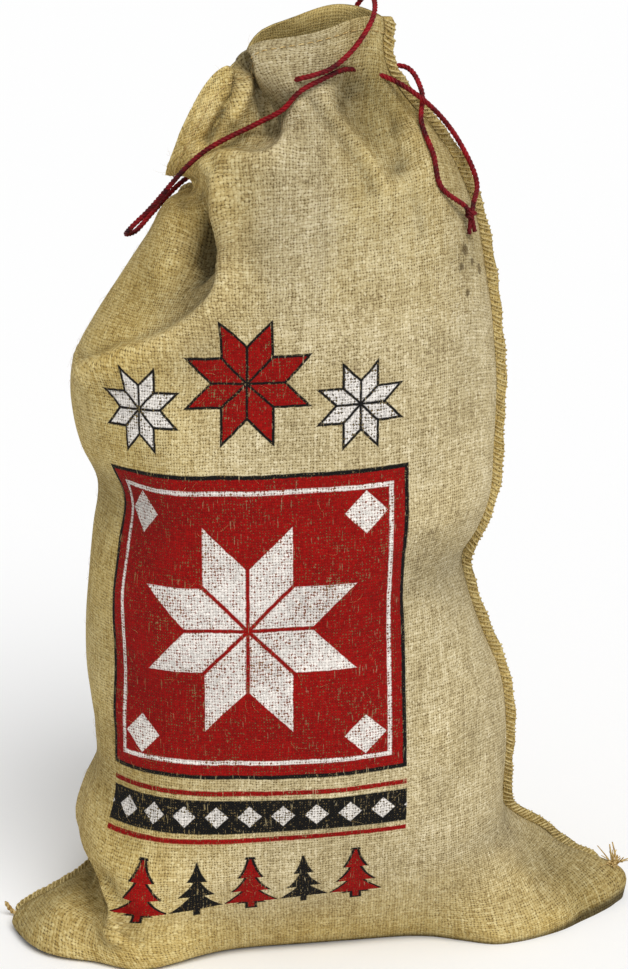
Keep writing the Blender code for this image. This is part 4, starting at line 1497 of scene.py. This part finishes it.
@dataclass
class FrayedCorner:
    """Cut yarn ends at the right bottom corner."""

    root: Points
    way: tuple[float, float, float] = (0.0, 0.1, 1.0)
    length: float = 0.0088
    count: int = 30
    spread: float = 0.50
    curl: float = 1.3
    thick: float = 0.0012

    def build(self, material: Material) -> Thing:
        """Make the ends.

        Args:
            material: their finish.

        Returns:
            The piece.
        """
        chance = np.random.default_rng(SEED + 20)
        tubes = Tubes(sides=5)
        share = np.linspace(0.0, 1.0, 9)
        for _ in range(self.count):
            start = self.root + chance.normal(size=3) * 0.0016
            way = unit(np.array(self.way) + chance.normal(size=3) * self.spread)
            curl = chance.normal(size=3) * self.curl
            length = self.length * chance.uniform(0.45, 1.0)
            path = start + length * (share[:, None] * way + (share**2)[:, None] * curl)
            path[:, 2] = np.maximum(path[:, 2], 0.5 * self.thick)
            tubes.thread(path, self.thick * (1.0 - 0.55 * share) * chance.uniform(0.6, 1.3))
        return tubes.piece("frayed_corner", material)


@dataclass
class YarnTail:
    """A twisted yarn end that curls away from the left bottom corner."""

    root: Points
    yarn: float = 0.0014
    curl: tuple[tuple[float, float, float], ...] = (        # points that it passes through, from its root
        (0.002, 0.0, -0.002), (-0.006, -0.002, 0.001), (-0.012, -0.003, 0.007), (-0.017, -0.003, 0.015))

    def build(self, material: Material) -> Thing:
        """Make the tail.

        Args:
            material: its finish.

        Returns:
            The piece.
        """
        path = even_steps(self.root + np.array(self.curl), 0.0009)
        path[:, 2] = np.maximum(path[:, 2], 2.0 * self.yarn)
        tubes = Tubes(sides=6)
        taper = np.interp(np.linspace(0.0, 1.0, len(path)), (0.0, 0.8, 1.0), (1.0, 1.0, 0.55))
        for line in twisted(path, 2, 0.8 * self.yarn, 0.009):
            tubes.thread(line, self.yarn * taper)
        return tubes.piece("yarn_tail", material)


# Route of the cord, from the knot up the outer strand, in at the right seam, out at the front, down over the left
# lobe to a tight bight, up behind the neck, over the mouth, in again, out behind the right seam and back.
CORD_ROUTE = [
    (0.141, -0.0465, 0.695), (0.145, -0.031, 0.707), (0.13, -0.015, 0.744), (0.093, -0.024, 0.786),
    (0.064, -0.0135, 0.802), (0.045, -0.0165, 0.8075), (0.027, -0.034, 0.8105), (0.008, -0.0495, 0.804),
    (-0.013, -0.0555, 0.793), (-0.027, -0.0525, 0.778), (-0.048, -0.0475, 0.766), (-0.0915, -0.049, 0.744),
    (-0.153, -0.015, 0.679), (-0.1655, -0.0095, 0.6665), (-0.17, 0.0015, 0.6595), (-0.164, 0.012, 0.6595),
    (-0.1485, 0.0262, 0.6745), (-0.1175, 0.0485, 0.7035), (-0.079, 0.0636, 0.7216), (-0.0402, 0.0644, 0.7424),
    (-0.0101, 0.0623, 0.7721), (0.008, 0.04, 0.804), (0.029, 0.0375, 0.844), (0.043, 0.027, 0.868),
    (0.0525, -0.002, 0.87), (0.0515, -0.029, 0.855), (0.033, -0.0375, 0.827), (0.011, -0.05, 0.811),
    (-0.003, -0.055, 0.807), (-0.0125, -0.052, 0.8045), (-0.016, -0.0435, 0.8025), (-0.011, -0.0345, 0.8015),
    (0.018, -0.02, 0.806), (0.064, 0.011, 0.81), (0.082, 0.012, 0.8085), (0.0955, -0.007, 0.79), (0.095, -0.03, 0.764),
    (0.105, -0.048, 0.738), (0.112, -0.065, 0.711), (0.1325, -0.059, 0.6945),
]


@dataclass
class Drawstring:
    """The red cord: three strands twisted together, its ends tied in an overhand knot at the right."""

    cord: float = 0.005
    strands: int = 3
    strand_off: float = 0.235       # how far a strand lies from the middle, in diameters
    twist: float = 0.0125
    step: float = 0.0012
    knot: tuple[float, float, float] = (0.1385, -0.0535, 0.6870)
    knot_size: tuple[float, float, float] = (0.0034, 0.0032, 0.0062)    # half width and depth, and height
    knot_turns: float = 1.7
    knot_start: float = 0.12
    tails: tuple[tuple[float, float, float], ...] = ((0.1368, -0.0570, 0.6690), (0.1420, -0.0560, 0.6710))

    def lay(self, tubes: Tubes, path: Points, share: float = 1.0) -> None:
        """Add a twisted cord along a line.

        Args:
            tubes: where its strands go.
            path: its middle line.
            share: its diameter against the cord's.
        """
        thick = share * self.cord
        reach = self.strand_off * thick
        for line in twisted(path, self.strands, reach, self.twist):
            tubes.thread(line, 0.5 * thick - reach)

    def build_cord(self, material: Material) -> tuple[Thing, Points]:
        """Make the cord.

        Args:
            material: its finish.

        Returns:
            The piece and its middle line.
        """
        path = even_steps(np.array(CORD_ROUTE), self.step)
        tubes = Tubes(sides=8)
        self.lay(tubes, path)
        piece = tubes.piece("cord", material, CORD_SLOT)
        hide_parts("drawstring")
        return piece, path

    def build_knot(self, material: Material) -> Thing:
        """Make the knot and the two free ends.

        Args:
            material: its finish.

        Returns:
            The piece.
        """
        tubes = Tubes(sides=8)
        middle = np.array(self.knot)
        wide, deep, tall = self.knot_size
        turns = np.linspace(0.0, 1.0, 60)
        angle = 2.0 * np.pi * (self.knot_turns * turns + self.knot_start)
        coil = np.stack([wide * np.cos(angle), deep * np.sin(angle), tall * (0.5 - turns)], axis=1)
        self.lay(tubes, middle + coil, 0.9)
        for start, way in ((np.array(CORD_ROUTE[0]), 1), (np.array(CORD_ROUTE[-1]), -1)):
            inside = middle + np.array([0.0012 * way, 0.0, 0.0010])
            self.lay(tubes, even_steps(np.array([start, 0.5 * (start + inside), inside]), self.step), 0.94)
        for tail in self.tails:
            line = np.array([middle, 0.55 * middle + 0.45 * np.array(tail), tail])
            self.lay(tubes, even_steps(line, self.step), 0.86)
        piece = tubes.piece("cord_knot", material, CORD_SLOT)
        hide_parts("drawstring_knot")
        return piece


# The studio

@dataclass
class Studio:
    """Pale floor, soft light from the front right, and a camera at the photograph's height and distance."""

    distance: float = 2.3
    down: float = 15.0              # degrees that the camera looks down
    aim: float = 0.425              # height that it looks at
    focal: float = 2473.0           # focal length in pixels
    height_px: float = 969.0        # height of the frame in pixels
    sensor: float = 24.0
    floor: float = 60.0
    sun_energy: float = 2.35
    sun_from: tuple[float, float, float] = (0.30, -0.76, 0.95)
    sun_width: float = 38.0         # degrees
    sky: float = 0.50

    def look(self, thing: Thing, target: Points) -> None:
        """Turn a light or camera to a point."""
        way = Vector(target - np.array(thing.location))
        thing.rotation_euler = way.to_track_quat("-Z", "Y").to_euler()

    def build_camera(self) -> None:
        """Place the camera."""
        tilt = math.radians(self.down)
        aim = np.array([0.0, 0.0, self.aim]) - CENTRE
        data = bpy.data.cameras.new("camera")
        data.sensor_fit = "VERTICAL"
        data.sensor_height = self.sensor
        data.lens = self.sensor * self.focal / self.height_px
        camera = linked("camera", data)
        camera.location = aim + self.distance * np.array([0.0, -math.cos(tilt), math.sin(tilt)])
        self.look(camera, aim)
        bpy.context.scene.camera = camera

    def build_floor(self) -> None:
        """Lay the floor."""
        half = 0.5 * self.floor
        mesh = bpy.data.meshes.new("floor")
        mesh.from_pydata([(-half, -half, 0.0), (half, -half, 0.0), (half, half, 0.0), (-half, half, 0.0)],
                         [], [(0, 1, 2, 3)])
        mesh.materials.append(FloorFinish().build("floor"))
        linked("floor", mesh)

    def build_light(self) -> None:
        """Hang the broad light and set the sky."""
        data = bpy.data.lights.new("key", "SUN")
        data.energy = self.sun_energy
        data.angle = math.radians(self.sun_width)
        light = linked("key", data)
        light.location = 3.0 * np.array(self.sun_from)
        self.look(light, np.zeros(3))
        world = bpy.data.worlds.new("sky")
        world.use_nodes = True
        sky = world.node_tree.nodes["Background"].inputs
        sky["Color"].default_value = (1.0, 1.0, 1.0, 1.0)
        sky["Strength"].default_value = self.sky
        scene = bpy.context.scene
        scene.world = world
        scene.view_settings.view_transform = "Standard"
        scene.view_settings.look = "None"


def main() -> None:
    """Build the studio and every piece of the sack."""
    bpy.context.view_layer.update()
    studio = Studio()
    studio.build_camera()

    drawstring = Drawstring()
    cord, route = drawstring.build_cord(CordFinish().build("cord_red"))
    # A darker copy of the cord's finish for the knot: painted shade in its crowded coils.
    shaded_cord = CordFinish(light=paint(112, 6, 17), dark=paint(30, 1, 5))
    knot = drawstring.build_knot(shaded_cord.build("cord_red_knot"))
    tuple(route[0] - CENTRE)
    (route - CENTRE).tolist()

    burlap = BurlapFinish().build("burlap_print")
    yarn = YarnFinish().build("jute_yarn")
    stitch = YarnFinish(light=paint(202, 184, 130), dark=paint(160, 138, 88)).build("overlock_yarn")
    sack = SackCloth(SackForm())
    cloth = sack.build(burlap)
    sewn = [Overlock(line, name).build(stitch)
            for line, name in zip(sack.seams, ("overlock_right", "overlock_left"))]
    loose = [work.build(yarn) for work in (HemStitch(sack), Fuzz(sack), FrayedCorner(sack.outer[7, 9]),
                                           YarnTail(sack.seams[1].tip[1]))]

    studio.build_floor()
    studio.build_light()


if __name__ == "__main__":
    main()
